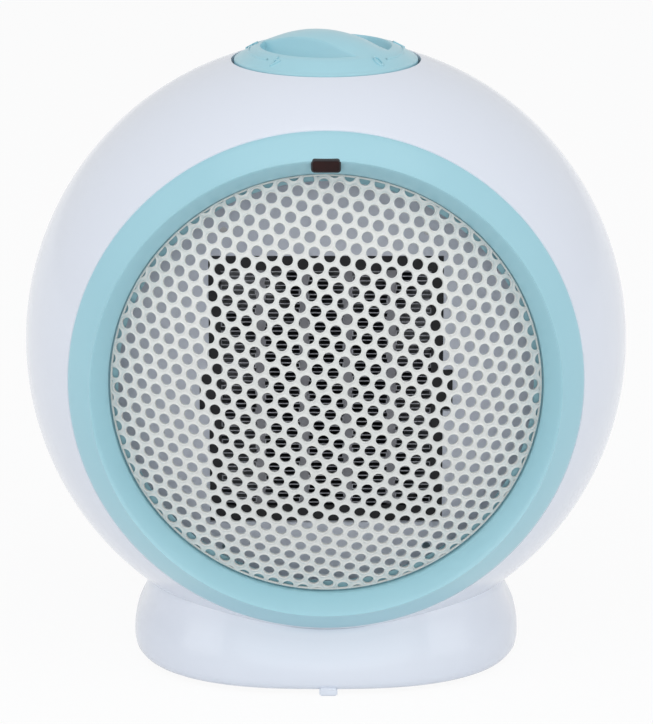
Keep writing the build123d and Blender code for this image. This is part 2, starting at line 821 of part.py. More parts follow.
def rim_cut(drop):
    """Space above the rim, level at the back and rising to the front."""
    far = head_radius
    level = rim_height - drop
    points = [(-far, level + rim_rise * far), (0, level), (far, level), (far, head_height), (-far, head_height)]
    outline = make_face(Polyline(*points, close=True))
    return extrude(Plane.YZ * outline, far, both=True)


def stand_shell():
    """Moulded stand with the cradle that the ball sits in."""
    ball = Pos(0, 0, head_height) * Sphere(head_radius)
    seat = Pos(0, 0, head_height) * Sphere(head_radius + stand_wall)
    outer = stand_drum(0, stand_lift) - rim_cut(0)
    cavity = stand_drum(stand_wall, stand_lift - over) - rim_cut(stand_wall) - seat
    body = outer - cavity
    body -= ball
    body -= Pos(0, 0, head_height) * axis_y(ring_outer_radius + ring_gap, -head_radius, lip_y + over)
    body -= axis_z(cradle_opening, 0, head_height)
    for x, y in head_screw_places():
        body -= axis_z(screw_radius, 0, head_height, x, y)
        body -= axis_z(screw_head_radius + screw_play, 0, head_screw_seat(), x, y)
    for x, y in base_screw_places():
        body += axis_z(boss_radius, plate_top_z, plate_top_z + base_boss_height, x, y) & (seat_space() - ball)
        body -= axis_z(screw_radius, plate_top_z - over, plate_top_z + base_screw_bite + screw_end_gap, x, y)
    for x, y in foot_places():
        body -= foot_block(x, y, 0, stand_lift + foot_peg)
    y_from = stand_half_depth - gland_length
    return body - axis_y(gland_radius, y_from, stand_half_depth + over, 0, gland_height)


def seat_space():
    """Inside of the stand, where bosses may stand."""
    return stand_drum(stand_wall / 2, stand_lift) - rim_cut(stand_wall / 2)


def head_screw_seat():
    """Height of the heads of the screws that hold the ball."""
    reach = math.hypot(head_screw_offset, head_screw_offset)
    return head_height - math.sqrt((head_radius + stand_wall) ** 2 - reach**2) + head_seat_lift


def base_screw_places():
    """Places of the screws that hold the base plate."""
    return [(base_screw_offset, base_screw_y), (-base_screw_offset, base_screw_y),
            (base_screw_offset, -base_screw_y - base_screw_step),
            (-base_screw_offset, -base_screw_y - base_screw_step)]


def base_plate():
    """Plate that closes the stand from below."""
    plate = Pos(0, 0, stand_lift) * extrude(stand_outline(stand_wall + part_gap), plate_wall)
    for x, y in base_screw_places():
        plate -= axis_z(screw_radius, stand_lift - over, plate_top_z + over, x, y)
        plate -= axis_z(screw_head_radius, stand_lift - over, stand_lift + flat_head_height, x, y)
    for x, y in foot_places():
        plate -= foot_block(x, y, 0, stand_lift + foot_peg)
    plate -= axis_z(plunger_radius + running_gap, stand_lift - over, plate_top_z + over, switch_x, switch_y)
    return plate


def foot_places():
    """One foot at the front and two at the back."""
    return [(0, -foot_reach), (rear_foot_x, rear_foot_y), (-rear_foot_x, rear_foot_y)]


def foot_block(x, y, z_from, z_to):
    """Block of one foot."""
    return block(x - foot_width / 2, x + foot_width / 2, y - foot_depth / 2, y + foot_depth / 2, z_from, z_to)


def feet():
    """Three feet. The front one shows under the middle of the stand's edge."""
    return Compound(children=[foot_block(x, y, 0, stand_lift + foot_peg) for x, y in foot_places()])


def cord_gland():
    """Bush in the back of the stand where a supply lead enters."""
    y_out = stand_half_depth + gland_flange_wall
    bush = axis_y(gland_radius, y_out - gland_length, y_out, 0, gland_height)
    bush += axis_y(gland_flange, stand_half_depth + running_gap, y_out, 0, gland_height)
    return bush - axis_y(gland_bore, y_out - gland_length - over, y_out + over, 0, gland_height)


def terminal_block():
    """Block where the supply lead meets the inner leads."""
    body = block(-block_width / 2, block_width / 2, block_y - block_depth / 2, block_y + block_depth / 2,
                 plate_top_z, plate_top_z + block_height)
    for index in range(3):
        x = (index - 1) * block_width / 3
        top_z = plate_top_z + block_height
        body -= axis_z(block_screw_radius, top_z - block_screw_depth, top_z + over, x, block_y)
    return body


def tip_over_switch():
    """Switch that opens when the plunger is let down."""
    top_z = plate_top_z + switch_height
    body = block(switch_x - switch_width / 2, switch_x + switch_width / 2,
                 switch_y - switch_depth / 2, switch_y + switch_depth / 2, plate_top_z, top_z)
    return body - axis_z(plunger_flange + part_gap, plate_top_z - over, top_z - switch_roof, switch_x, switch_y)


def tip_over_plunger():
    """Pin that the floor pushes up while the heater stands."""
    flange_z = plate_top_z + plunger_travel
    pin = axis_z(plunger_radius, 0, flange_z, switch_x, switch_y)
    return pin + axis_z(plunger_flange, flange_z, flange_z + plunger_flange_wall, switch_x, switch_y)


def pan_screw(length):
    """Screw drawn with its head at the bottom and its shank up."""
    return axis_z(screw_head_radius, -screw_head_height, 0) + axis_z(screw_radius, 0, length)


def screws_along(places, length, turn):
    """A group of the same screws at the given places."""
    return Compound(children=[Pos(*place) * (turn * pan_screw(length)) for place in places])


def export_head():
    """Writes the casing, the ring and what sits at the top of the head."""
    save("front_shell", front_shell())
    save("rear_shell", rear_shell())
    save("front_ring", front_ring())
    save("front_grille", front_grille())
    save("indicator_lens", indicator_lens())
    save("indicator_lamp", indicator_lamp())
    save("control_dish", control_dish())
    save("thermostat_body", thermostat_body())
    save("thermostat_nut", thermostat_nut())
    save("thermostat_shaft", thermostat_shaft())
    save("control_knob", control_knob())


def export_heating():
    """Writes the element and the air path."""
    save("outlet_baffle", outlet_baffle())
    save("element_frame", element_frame())
    for index in range(fin_columns):
        save(f"fin_strip_{index + 1}", fin_strip(index))
    for index in range(fin_columns - 1):
        save(f"ptc_bar_{index + 1}", ptc_bar(index))
    save("element_terminals", element_terminals())
    save("air_duct", air_duct())
    save("fan_shroud", fan_shroud())


def export_motor():
    """Writes the motor and the fan."""
    save("front_bearing_bracket", bearing_bracket(post_back_y))
    save("rear_bearing_bracket", bearing_bracket(stator_back_y))
    save("front_bearing", bearing(stator_front_y - bearing_length))
    save("rear_bearing", bearing(stator_back_y))
    save("stator", stator())
    save("motor_coil", motor_coil())
    save("rotor", rotor())
    save("motor_shaft", motor_shaft())
    save("impeller", impeller())


def export_stand():
    """Writes the stand and what it holds."""
    save("stand_shell", stand_shell(), False)
    save("base_plate", base_plate(), False)
    save("feet", feet(), False)
    save("cord_gland", cord_gland(), False)
    save("terminal_block", terminal_block(), False)
    save("tip_over_switch", tip_over_switch(), False)
    save("tip_over_plunger", tip_over_plunger(), False)


def export_screws():
    """Writes each group of the same screws as one node."""
    forward = Rot(90, 0, 0)
    clamp = baffle_back_y + clamp_length
    save("ring_screws", screws_along([(x, clamp, z) for x, z, t in quarter_places(ring_screw_radius)],
                                     clamp_length + baffle_wall + ring_screw_bite, forward))
    seam_seat = seam_y + clamp_length
    save("shell_screws", screws_along([(x, seam_seat, z) for x, z, t in shell_screw_places()],
                                      2 * clamp_length - shell_screw_spare, forward))
    ear_seat = baffle_back_y + ear_length
    save("duct_screws", screws_along([(x, ear_seat, z) for x, z in duct_ear_places()],
                                     ear_length + baffle_wall, forward))
    shroud_seat = disc_back_y + shroud_wall
    save("shroud_screws", screws_along([(x, shroud_seat, z) for x, z, t in quarter_places(disc_screw_radius)],
                                       shroud_wall + duct_wall, forward))
    motor_seat = stator_back_y + bracket_wall
    motor_reach = motor_seat - shroud_back_y
    save("motor_screws", screws_along([(s * motor_screw_x, motor_seat, 0) for s in (-1, 1)],
                                      motor_reach, forward))
    head_seat = head_screw_seat()
    save("head_screws", screws_along([(x, y, head_seat) for x, y in head_screw_places()],
                                     head_screw_length, Rot(0, 0, 0)), False)
    save("base_screws", base_screws(), False)


def base_screws():
    """Flat headed screws through the base plate."""
    seat = stand_lift + flat_head_height
    group = []
    for x, y in base_screw_places():
        head = axis_z(screw_head_radius, stand_lift + part_gap, seat, x, y)
        group.append(head + axis_z(screw_radius, seat, plate_top_z + base_screw_bite, x, y))
    return Compound(children=group)


os.makedirs("parts", exist_ok=True)
export_head()
export_heating()
export_motor()
export_stand()
export_screws()
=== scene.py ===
# %% [markdown]
# A ball shaped ceramic fan heater, seen a little from above.
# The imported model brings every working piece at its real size, and this lesson dresses what shows.
# We load it first, because every size below is read from it or sits beside it.

# %% Load the frame
import json
import math
import bmesh
import bpy
from mathutils import Matrix, Vector


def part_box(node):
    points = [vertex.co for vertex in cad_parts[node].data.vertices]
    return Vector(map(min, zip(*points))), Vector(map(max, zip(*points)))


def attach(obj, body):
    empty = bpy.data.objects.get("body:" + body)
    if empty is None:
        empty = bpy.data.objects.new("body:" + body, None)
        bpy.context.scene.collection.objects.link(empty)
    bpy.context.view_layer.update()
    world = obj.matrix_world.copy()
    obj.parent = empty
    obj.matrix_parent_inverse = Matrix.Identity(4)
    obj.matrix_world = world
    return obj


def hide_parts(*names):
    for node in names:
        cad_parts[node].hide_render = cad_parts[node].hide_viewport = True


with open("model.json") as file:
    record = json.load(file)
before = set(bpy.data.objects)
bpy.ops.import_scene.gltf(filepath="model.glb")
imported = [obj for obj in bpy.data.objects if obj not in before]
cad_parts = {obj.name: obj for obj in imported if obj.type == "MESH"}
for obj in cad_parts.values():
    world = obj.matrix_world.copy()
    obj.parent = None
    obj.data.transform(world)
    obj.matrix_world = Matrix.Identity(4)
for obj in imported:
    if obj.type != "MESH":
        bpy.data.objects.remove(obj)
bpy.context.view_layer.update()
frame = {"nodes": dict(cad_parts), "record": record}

MM = 0.001
HOUSING = "housing"
shell_low, shell_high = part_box("front_shell")
ring_low, ring_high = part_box("front_ring")
grille_low, grille_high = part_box("front_grille")
HEAD_RADIUS = (shell_high[0] - shell_low[0]) / 2
HEAD_Z = (ring_high[2] + ring_low[2]) / 2
SEAM_Y = shell_high[1]
LIP_Y = shell_low[1]
RING_OUTER = (ring_high[0] - ring_low[0]) / 2
print("head radius", HEAD_RADIUS, "centre height", HEAD_Z)

# %% [markdown]
# The camera is fitted before anything is made, since it decides what has to look right.
# A photographer stood about a metre and a half away with a long lens, a little above the ball.
# The photograph is 653 by 724 pixels, and the ball's centre lies slightly above its middle.

# %% Camera at the photograph's angle
PHOTO_HEIGHT = 724
FOCAL_PIXELS = 3902.0
VIEW_DISTANCE = 1.5
VIEW_ELEVATION = math.radians(15.1)
BALL_ABOVE_MIDDLE = 23.7
BALL_RIGHT_OF_MIDDLE = -0.5


def add_camera():
    """Camera that looks along +Y and down at the ball."""
    data = bpy.data.cameras.new("photo_camera")
    data.sensor_width = 36.0
    data.lens = FOCAL_PIXELS * data.sensor_width / PHOTO_HEIGHT
    camera = bpy.data.objects.new("photo_camera", data)
    bpy.context.scene.collection.objects.link(camera)
    back = VIEW_DISTANCE * math.cos(VIEW_ELEVATION)
    up = VIEW_DISTANCE * math.sin(VIEW_ELEVATION)
    camera.location = (0.0, -back, HEAD_Z + up)
    pitch = VIEW_ELEVATION + math.atan(BALL_ABOVE_MIDDLE / FOCAL_PIXELS)
    yaw = math.atan(BALL_RIGHT_OF_MIDDLE / FOCAL_PIXELS)
    camera.rotation_euler = (math.pi / 2 - pitch, 0.0, yaw)
    bpy.context.scene.camera = camera
    return camera


camera = add_camera()
print("lens", round(camera.data.lens, 1))

# %% [markdown]
# Every finish on the heater is moulded plastic, enamel or metal, so one recipe serves them all.
# Object coordinates keep a pattern fixed to the piece at its real size.
# A slow noise shifts the colour a little, a finer one changes the gloss, and the finest lifts the surface.

# %% Recipe for a finish
def new_material(name):
    """Empty node material with its shader and the object coordinates."""
    material = bpy.data.materials.new(name)
    material.use_nodes = True
    tree = material.node_tree
    tree.nodes.clear()
    out = tree.nodes.new("ShaderNodeOutputMaterial")
    shader = tree.nodes.new("ShaderNodeBsdfPrincipled")
    coords = tree.nodes.new("ShaderNodeTexCoord")
    tree.links.new(shader.outputs["BSDF"], out.inputs["Surface"])
    return material, tree, shader, coords


def add_noise(tree, coords, scale, detail=3.0):
    """Noise on the object's own coordinates."""
    noise = tree.nodes.new("ShaderNodeTexNoise")
    noise.inputs["Scale"].default_value = scale
    noise.inputs["Detail"].default_value = detail
    tree.links.new(coords.outputs["Object"], noise.inputs["Vector"])
    return noise


def finish(name, light, dark, rough, spread=0.05, cloud=18.0, grain=2500.0, lift=0.02, **sockets):
    """Finish that drifts between two colours, with uneven gloss and a fine lifted grain."""
    material, tree, shader, coords = new_material(name)
    drift = add_noise(tree, coords, cloud)
    ramp = tree.nodes.new("ShaderNodeValToRGB")
    ramp.color_ramp.elements[0].position = 0.3
    ramp.color_ramp.elements[1].position = 0.7
    ramp.color_ramp.elements[0].color = (*dark, 1.0)
    ramp.color_ramp.elements[1].color = (*light, 1.0)
    tree.links.new(drift.outputs["Fac"], ramp.inputs["Fac"])
    tree.links.new(ramp.outputs["Color"], shader.inputs["Base Color"])
    gloss = add_noise(tree, coords, cloud * 12)
    spreader = tree.nodes.new("ShaderNodeMapRange")
    spreader.inputs["To Min"].default_value = max(0.0, rough - spread)
    spreader.inputs["To Max"].default_value = min(1.0, rough + spread)
    tree.links.new(gloss.outputs["Fac"], spreader.inputs["Value"])
    tree.links.new(spreader.outputs["Result"], shader.inputs["Roughness"])
    fine = add_noise(tree, coords, grain, 2.0)
    bump = tree.nodes.new("ShaderNodeBump")
    bump.inputs["Strength"].default_value = lift
    bump.inputs["Distance"].default_value = 0.0002
    tree.links.new(fine.outputs["Fac"], bump.inputs["Height"])
    tree.links.new(bump.outputs["Normal"], shader.inputs["Normal"])
    for socket, value in sockets.items():
        shader.inputs[socket.replace("_", " ")].default_value = value
    return material


# %% [markdown]
# The casing is a pale lavender white with a hard gloss, and the ring and knob are a softer aqua.
# The grille is enamelled steel, which is duller and a little warmer.
# Behind it a lavender grey plate surrounds the bright fins of the heating element.

# %% Finishes of this heater
shell_white = finish("shell_white", (0.775, 0.815, 0.885), (0.760, 0.800, 0.875),
                     0.16, 0.03, 9.0, 1400.0, 0.015, Coat_Weight=0.12, Coat_Roughness=0.06)
stand_white = finish("stand_white", (0.765, 0.805, 0.875), (0.750, 0.790, 0.865),
                     0.24, 0.04, 9.0, 1400.0, 0.02, Coat_Weight=0.10, Coat_Roughness=0.12)
aqua = finish("aqua_plastic", (0.375, 0.655, 0.730), (0.350, 0.630, 0.710),
              0.30, 0.04, 14.0, 1800.0, 0.03, Coat_Weight=0.15, Coat_Roughness=0.2)
enamel = finish("grille_enamel", (0.77, 0.785, 0.755), (0.74, 0.755, 0.725),
                0.34, 0.06, 60.0, 1500.0, 0.05)
plate_grey = finish("baffle_grey", (0.88, 0.91, 0.99), (0.82, 0.85, 0.95),
                    0.55, 0.08, 25.0, 900.0, 0.05)
black = finish("frame_black", (0.020, 0.020, 0.024), (0.010, 0.010, 0.012),
               0.5, 0.08, 60.0, 1200.0, 0.08)
bright_fin = finish("fin_aluminium", (0.52, 0.54, 0.58), (0.34, 0.35, 0.39),
                    0.34, 0.1, 120.0, 2500.0, 0.1, Metallic=1.0)
bar_grey = finish("ptc_grey", (0.40, 0.40, 0.43), (0.30, 0.30, 0.33),
                  0.45, 0.1, 90.0, 1600.0, 0.1, Metallic=0.6)
steel = finish("plated_steel", (0.62, 0.62, 0.63), (0.50, 0.50, 0.51),
               0.30, 0.08, 200.0, 3000.0, 0.1, Metallic=1.0)
bronze = finish("bearing_bronze", (0.60, 0.42, 0.20), (0.48, 0.32, 0.14),
                0.42, 0.08, 200.0, 3000.0, 0.2, Metallic=1.0)
duct_grey = finish("duct_grey", (0.085, 0.09, 0.10), (0.065, 0.07, 0.078), 0.5, 0.08, 40.0, 900.0, 0.1)
fan_dark = finish("fan_plastic", (0.05, 0.05, 0.055), (0.03, 0.03, 0.033), 0.4, 0.08, 40.0, 900.0, 0.1)
winding = finish("coil_tape", (0.50, 0.33, 0.10), (0.38, 0.24, 0.07), 0.45, 0.1, 150.0, 2500.0, 0.3)
iron = finish("lamination", (0.20, 0.20, 0.21), (0.12, 0.12, 0.13),
              0.5, 0.1, 300.0, 4000.0, 0.4, Metallic=0.8)
lens_red = finish("lens_red", (0.022, 0.0045, 0.004), (0.014, 0.003, 0.003),
                  0.34, 0.04, 300.0, 2000.0, 0.02, IOR=1.3)
lamp_glass = finish("lamp_glass", (0.85, 0.55, 0.40), (0.75, 0.45, 0.32),
                    0.15, 0.04, 200.0, 2000.0, 0.02)
gland_pale = finish("gland_rubber", (0.55, 0.57, 0.62), (0.50, 0.52, 0.57),
                    0.6, 0.08, 60.0, 2000.0, 0.1)
natural = finish("block_plastic", (0.62, 0.60, 0.52), (0.55, 0.53, 0.46),
                 0.45, 0.08, 60.0, 1500.0, 0.08)

SLOT_FINISH = {
    "shell_white": shell_white, "aqua_plastic": aqua, "grille_white": enamel, "lens_red": lens_red,
    "lamp_glass": lamp_glass, "dish_white": shell_white, "baffle_grey": plate_grey, "frame_black": black,
    "fin_aluminium": bright_fin, "ptc_grey": bar_grey, "steel": steel, "duct_grey": duct_grey,
    "bronze": bronze, "lamination": iron, "winding": winding, "fan_plastic": fan_dark,
    "stand_white": stand_white, "gland_rubber": gland_pale, "block_plastic": natural,
    "pin_white": stand_white,
}


def dress_nodes():
    """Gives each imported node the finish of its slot."""
    slots = {part["node"]: part["material_slot"] for part in frame["record"]["subparts"]}
    for node, thing in frame["nodes"].items():
        material = SLOT_FINISH[slots[node]]
        if not thing.material_slots:
            thing.data.materials.append(material)
        for holder in thing.material_slots:
            holder.material = material
    print("dressed", len(slots), "nodes")


dress_nodes()

# %% [markdown]
# Most visible pieces follow a rule, such as a turned profile, so they are written as grids of points.
# A grid needs far fewer words than a pile of loose faces, and its rows can be closed into a ring.
# The last helper hands a finished mesh to the body it rides on and hides the imported node it stands for.

# %% Helpers for meshes
SAME_PLACE = 1e-6


def grid_mesh(name, rows, loop=True, cap_start=False, cap_end=False):
    """Mesh through rows of points, each row closed into a ring when loop is set."""
    count = len(rows[0])
    points = [point for row in rows for point in row]
    faces = []
    for r in range(len(rows) - 1):
        for c in range(count if loop else count - 1):
            d = (c + 1) % count
            faces.append((r * count + c, r * count + d, (r + 1) * count + d, (r + 1) * count + c))
    if cap_start:
        faces.append(tuple(reversed(range(count))))
    if cap_end:
        faces.append(tuple((len(rows) - 1) * count + c for c in range(count)))
    mesh = bpy.data.meshes.new(name)
    mesh.from_pydata(points, [], faces)
    return mesh


def tidy_mesh(mesh):
    """Merges doubles and turns the faces outwards."""
    bm = bmesh.new()
    bm.from_mesh(mesh)
    bmesh.ops.remove_doubles(bm, verts=bm.verts, dist=SAME_PLACE)
    bmesh.ops.recalc_face_normals(bm, faces=bm.faces)
    bm.to_mesh(mesh)
    bm.free()


def piece(name, mesh, material, nodes=(), body=HOUSING, sharp=35.0):
    """Links a mesh at the origin, shades it and hands it to its body."""
    thing = bpy.data.objects.new(name, mesh)
    bpy.context.scene.collection.objects.link(thing)
    mesh.materials.clear()
    mesh.materials.append(material)
    mesh.shade_smooth()
    mesh.set_sharp_from_angle(angle=math.radians(sharp))
    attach(thing, body)
    if nodes:
        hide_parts(*nodes)
    print(name, "faces", len(mesh.polygons))
    return thing


def turned_rows(profile, segments):
    """Rows of points for a profile of (radius, y) turned about the head's axis."""
    rows = []
    for radius, y in profile:
        row = []
        for k in range(segments):
            turn = 2 * math.pi * k / segments
            row.append((radius * math.cos(turn), y, HEAD_Z + radius * math.sin(turn)))
        rows.append(row)
    return rows


def arc_points(centre, radius, start, end, steps):
    """Points of an arc in a profile plane, angles in degrees."""
    points = []
    for k in range(steps + 1):
        turn = math.radians(start + (end - start) * k / steps)
        points.append((centre[0] + radius * math.cos(turn), centre[1] + radius * math.sin(turn)))
    return points


# %% [markdown]
# The two half shells meet at a seam behind the top of the ball.
# Each is a ball drawn about the upright axis, so that the round knob hole is one of its rings.
# Two flat cuts then leave the half that is wanted, and the cut edge is turned in and rounded.

# %% Half shells
WALL = 2.5 * MM
KNOB_HOLE = 35.7 * MM
SHELL_RINGS = 110
SHELL_SEGMENTS = 224
EDGE_ROUND = 0.35 * MM
HOLE_WALL_DEPTH = 2.6 * MM
BOTTOM_OPENING = 12.0 * MM
TURNED_IN_SHARE = 0.8


def ball_rows():
    """Rings of the ball from the wall of the knob hole down to the bottom."""
    top = math.asin((KNOB_HOLE + EDGE_ROUND) / HEAD_RADIUS)
    hole_z = HEAD_RADIUS * math.cos(top)
    profile = [(KNOB_HOLE, hole_z - HOLE_WALL_DEPTH), (KNOB_HOLE, hole_z - 0.5 * MM)]
    profile.append((KNOB_HOLE + 0.1 * MM, hole_z - 0.12 * MM))
    low = math.pi - math.asin(BOTTOM_OPENING / HEAD_RADIUS)
    for k in range(SHELL_RINGS + 1):
        turn = top + (low - top) * k / SHELL_RINGS
        profile.append((HEAD_RADIUS * math.sin(turn), HEAD_RADIUS * math.cos(turn)))
    rows = []
    for radius, z in profile:
        turns = [2 * math.pi * k / SHELL_SEGMENTS for k in range(SHELL_SEGMENTS)]
        rows.append([(radius * math.cos(t), radius * math.sin(t), HEAD_Z + z) for t in turns])
    return rows


def cut_shell(name, cuts):
    """Ball cut by planes across Y, with each cut edge turned in. A cut is (y, side kept)."""
    mesh = grid_mesh(name, ball_rows())
    bm = bmesh.new()
    bm.from_mesh(mesh)
    bmesh.ops.recalc_face_normals(bm, faces=bm.faces)
    for y, keep in cuts:
        everything = bm.verts[:] + bm.edges[:] + bm.faces[:]
        bmesh.ops.bisect_plane(bm, geom=everything, dist=1e-7, plane_co=(0, y, 0),
                               plane_no=(0, -keep, 0), clear_outer=True)
        rim = [e for e in bm.edges if e.is_boundary and all(abs(v.co.y - y) < SAME_PLACE for v in e.verts)]
        grown = bmesh.ops.extrude_edge_only(bm, edges=rim)
        centre = Vector((0, y, HEAD_Z))
        for vert in [g for g in grown["geom"] if isinstance(g, bmesh.types.BMVert)]:
            vert.co += (centre - vert.co).normalized() * WALL * TURNED_IN_SHARE
        bmesh.ops.bevel(bm, geom=rim, offset=EDGE_ROUND, segments=2, affect="EDGES", clamp_overlap=True)
    bm.to_mesh(mesh)
    bm.free()
    return mesh


SEAM_GAP = 0.12 * MM
REAR_Y = 84.0 * MM
piece("front_shell_skin", cut_shell("front_shell_skin", [(SEAM_Y - SEAM_GAP, -1), (LIP_Y, 1)]),
      shell_white, ["front_shell"])
piece("rear_shell_skin", cut_shell("rear_shell_skin", [(SEAM_Y + SEAM_GAP, 1), (REAR_Y, -1)]),
      shell_white, ["rear_shell"])

# %% [markdown]
# Air enters through flat slats in the back of the rear shell.
# The slats repeat, so Geometry Nodes lay them out: a line of points with one bar on each,
# stretched to the circle's chord at its height.
# The frame around them is turned like the ring, with a soft corner where it meets the ball.

# %% Rear intake
INTAKE_RADIUS = 66.0 * MM
SLAT_PITCH = 7.6 * MM
SLAT_HEIGHT = 4.0 * MM
SLAT_DEPTH = 2.3 * MM
SLAT_COUNT = 17
SLAT_SINK = 1.25 * MM
RIB_WIDTH = 6.0 * MM
RIB_DEPTH = 2.4 * MM
RIB_SINK = 1.3 * MM
BAR_ROUND = 0.5 * MM
BACK_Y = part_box("rear_shell")[1][1]


def bar_mesh(name, size, bevel, segments=2):
    """Bar of the given size about the origin with rounded edges."""
    mesh = bpy.data.meshes.new(name)
    bm = bmesh.new()
    bmesh.ops.create_cube(bm, size=1.0, matrix=Matrix.Diagonal((*size, 1.0)))
    bmesh.ops.bevel(bm, geom=bm.edges[:], offset=bevel, segments=segments, affect="EDGES", clamp_overlap=True)
    bm.to_mesh(mesh)
    bm.free()
    return mesh


def new_tree(name, sizes):
    """Geometry Nodes tree with one geometry output and named number inputs."""
    tree = bpy.data.node_groups.new(name, "GeometryNodeTree")
    tree.interface.new_socket("Geometry", in_out="OUTPUT", socket_type="NodeSocketGeometry")
    for title, value in sizes.items():
        kind = "NodeSocketInt" if isinstance(value, int) else "NodeSocketFloat"
        tree.interface.new_socket(title, in_out="INPUT", socket_type=kind)
    return tree


def math_node(tree, operation, first, second=None):
    """Math node whose inputs are sockets or numbers."""
    node = tree.nodes.new("ShaderNodeMath")
    node.operation = operation
    for index, value in enumerate((first, second)):
        if value is None:
            continue
        if isinstance(value, (int, float)):
            node.inputs[index].default_value = value
        else:
            tree.links.new(value, node.inputs[index])
    return node.outputs[0]


def grow_mesh(name, tree, sizes):
    """Runs a tree on an empty mesh and returns the result as a plain mesh."""
    host = bpy.data.objects.new(name + "_host", bpy.data.meshes.new(name + "_host"))
    bpy.context.scene.collection.objects.link(host)
    modifier = host.modifiers.new("grow", "NODES")
    modifier.node_group = tree
    for item in tree.interface.items_tree:
        if item.in_out == "INPUT" and item.name in sizes:
            modifier[item.identifier] = sizes[item.name]
    graph = bpy.context.evaluated_depsgraph_get()
    mesh = bpy.data.meshes.new_from_object(host.evaluated_get(graph))
    mesh.name = name
    host.modifiers.remove(modifier)
    bpy.data.objects.remove(host)
    return mesh


def object_node(tree, thing):
    """Object Info node of a source piece."""
    node = tree.nodes.new("GeometryNodeObjectInfo")
    node.inputs["Object"].default_value = thing
    return node.outputs["Geometry"]


def slat_tree(sizes, bar, material):
    """Tree that lays slats across a round opening."""
    tree = new_tree("intake_slats", sizes)
    into = tree.nodes.new("NodeGroupInput")
    out = tree.nodes.new("NodeGroupOutput")
    line = tree.nodes.new("GeometryNodeMeshLine")
    tree.links.new(into.outputs["Count"], line.inputs["Count"])
    gaps = math_node(tree, "SUBTRACT", into.outputs["Count"], 1.0)
    span = math_node(tree, "MULTIPLY", into.outputs["Pitch"], gaps)
    start = tree.nodes.new("ShaderNodeCombineXYZ")
    step = tree.nodes.new("ShaderNodeCombineXYZ")
    tree.links.new(into.outputs["Depth place"], start.inputs["Y"])
    half_span = math_node(tree, "MULTIPLY", span, 0.5)
    low = math_node(tree, "SUBTRACT", into.outputs["Centre height"], half_span)
    tree.links.new(low, start.inputs["Z"])
    tree.links.new(into.outputs["Pitch"], step.inputs["Z"])
    tree.links.new(start.outputs[0], line.inputs["Start Location"])
    tree.links.new(step.outputs[0], line.inputs["Offset"])
    place = tree.nodes.new("GeometryNodeInputPosition")
    split = tree.nodes.new("ShaderNodeSeparateXYZ")
    tree.links.new(place.outputs[0], split.inputs[0])
    rise = math_node(tree, "SUBTRACT", split.outputs["Z"], into.outputs["Centre height"])
    reach_squared = math_node(tree, "MULTIPLY", into.outputs["Radius"], into.outputs["Radius"])
    chord = math_node(tree, "SUBTRACT", reach_squared, math_node(tree, "MULTIPLY", rise, rise))
    half = math_node(tree, "SQRT", math_node(tree, "MAXIMUM", chord, 1e-6))
    stretch = tree.nodes.new("ShaderNodeCombineXYZ")
    tree.links.new(half, stretch.inputs["X"])
    stretch.inputs["Y"].default_value = 1.0
    stretch.inputs["Z"].default_value = 1.0
    spread = tree.nodes.new("GeometryNodeInstanceOnPoints")
    tree.links.new(line.outputs["Mesh"], spread.inputs["Points"])
    tree.links.new(object_node(tree, bar), spread.inputs["Instance"])
    tree.links.new(stretch.outputs[0], spread.inputs["Scale"])
    real = tree.nodes.new("GeometryNodeRealizeInstances")
    paint = tree.nodes.new("GeometryNodeSetMaterial")
    paint.inputs["Material"].default_value = material
    tree.links.new(spread.outputs["Instances"], real.inputs["Geometry"])
    tree.links.new(real.outputs["Geometry"], paint.inputs["Geometry"])
    tree.links.new(paint.outputs["Geometry"], out.inputs["Geometry"])
    return tree


def hidden_source(name, mesh):
    """Object that only feeds a tree, in no collection of its own."""
    return bpy.data.objects.new(name, mesh)


SLAT_SIZES = {"Count": SLAT_COUNT, "Pitch": SLAT_PITCH, "Radius": INTAKE_RADIUS + 1.0 * MM,
              "Centre height": HEAD_Z, "Depth place": BACK_Y - SLAT_SINK}
slat_source = hidden_source("slat_source", bar_mesh("slat_source", (2.0, SLAT_DEPTH, SLAT_HEIGHT), BAR_ROUND))
slats = grow_mesh("intake_slats", slat_tree(SLAT_SIZES, slat_source, shell_white), SLAT_SIZES)
piece("intake_slats", slats, shell_white)

corner = math.sqrt(HEAD_RADIUS**2 - REAR_Y**2)
intake_profile = [(corner - 0.4 * MM, REAR_Y - 1.5 * MM), (corner - 0.1 * MM, REAR_Y + 0.2 * MM)]
intake_profile += [(corner - 0.7 * MM, REAR_Y + 1.2 * MM), (corner - 2.0 * MM, BACK_Y - 0.35 * MM)]
intake_profile += [(corner - 4.0 * MM, BACK_Y - 0.05 * MM), (INTAKE_RADIUS + 0.6 * MM, BACK_Y - 0.05 * MM)]
intake_profile += [(INTAKE_RADIUS, BACK_Y - 0.5 * MM), (INTAKE_RADIUS, REAR_Y + 0.1 * MM)]
piece("intake_frame", grid_mesh("intake_frame", turned_rows(intake_profile, 160)),
      shell_white)
rib = bar_mesh("intake_rib", (RIB_WIDTH, RIB_DEPTH, 2 * INTAKE_RADIUS), BAR_ROUND)
rib.transform(Matrix.Translation((0, BACK_Y - RIB_SINK, HEAD_Z)))
piece("intake_rib", rib, shell_white)

# %% [markdown]
# The aqua ring is one turned moulding. Its outer face carries on the ball, a soft crest turns the corner,
# and the inner face slopes back to the grille. A thin lip stands where it meets the shell.
# The turned profile has a few more points at the crest, so that the corner is rounded and not sharp.

# %% Front ring
RING_BAND = 9.0 * MM
SLOPE_WIDTH = 6.4 * MM
CREST_RADIUS = RING_OUTER - RING_BAND
INNER_RADIUS = CREST_RADIUS - SLOPE_WIDTH
SLOPE_DROP = 7.8 * MM
crest_y = -math.sqrt(HEAD_RADIUS**2 - CREST_RADIUS**2)
slope_y = crest_y + SLOPE_DROP


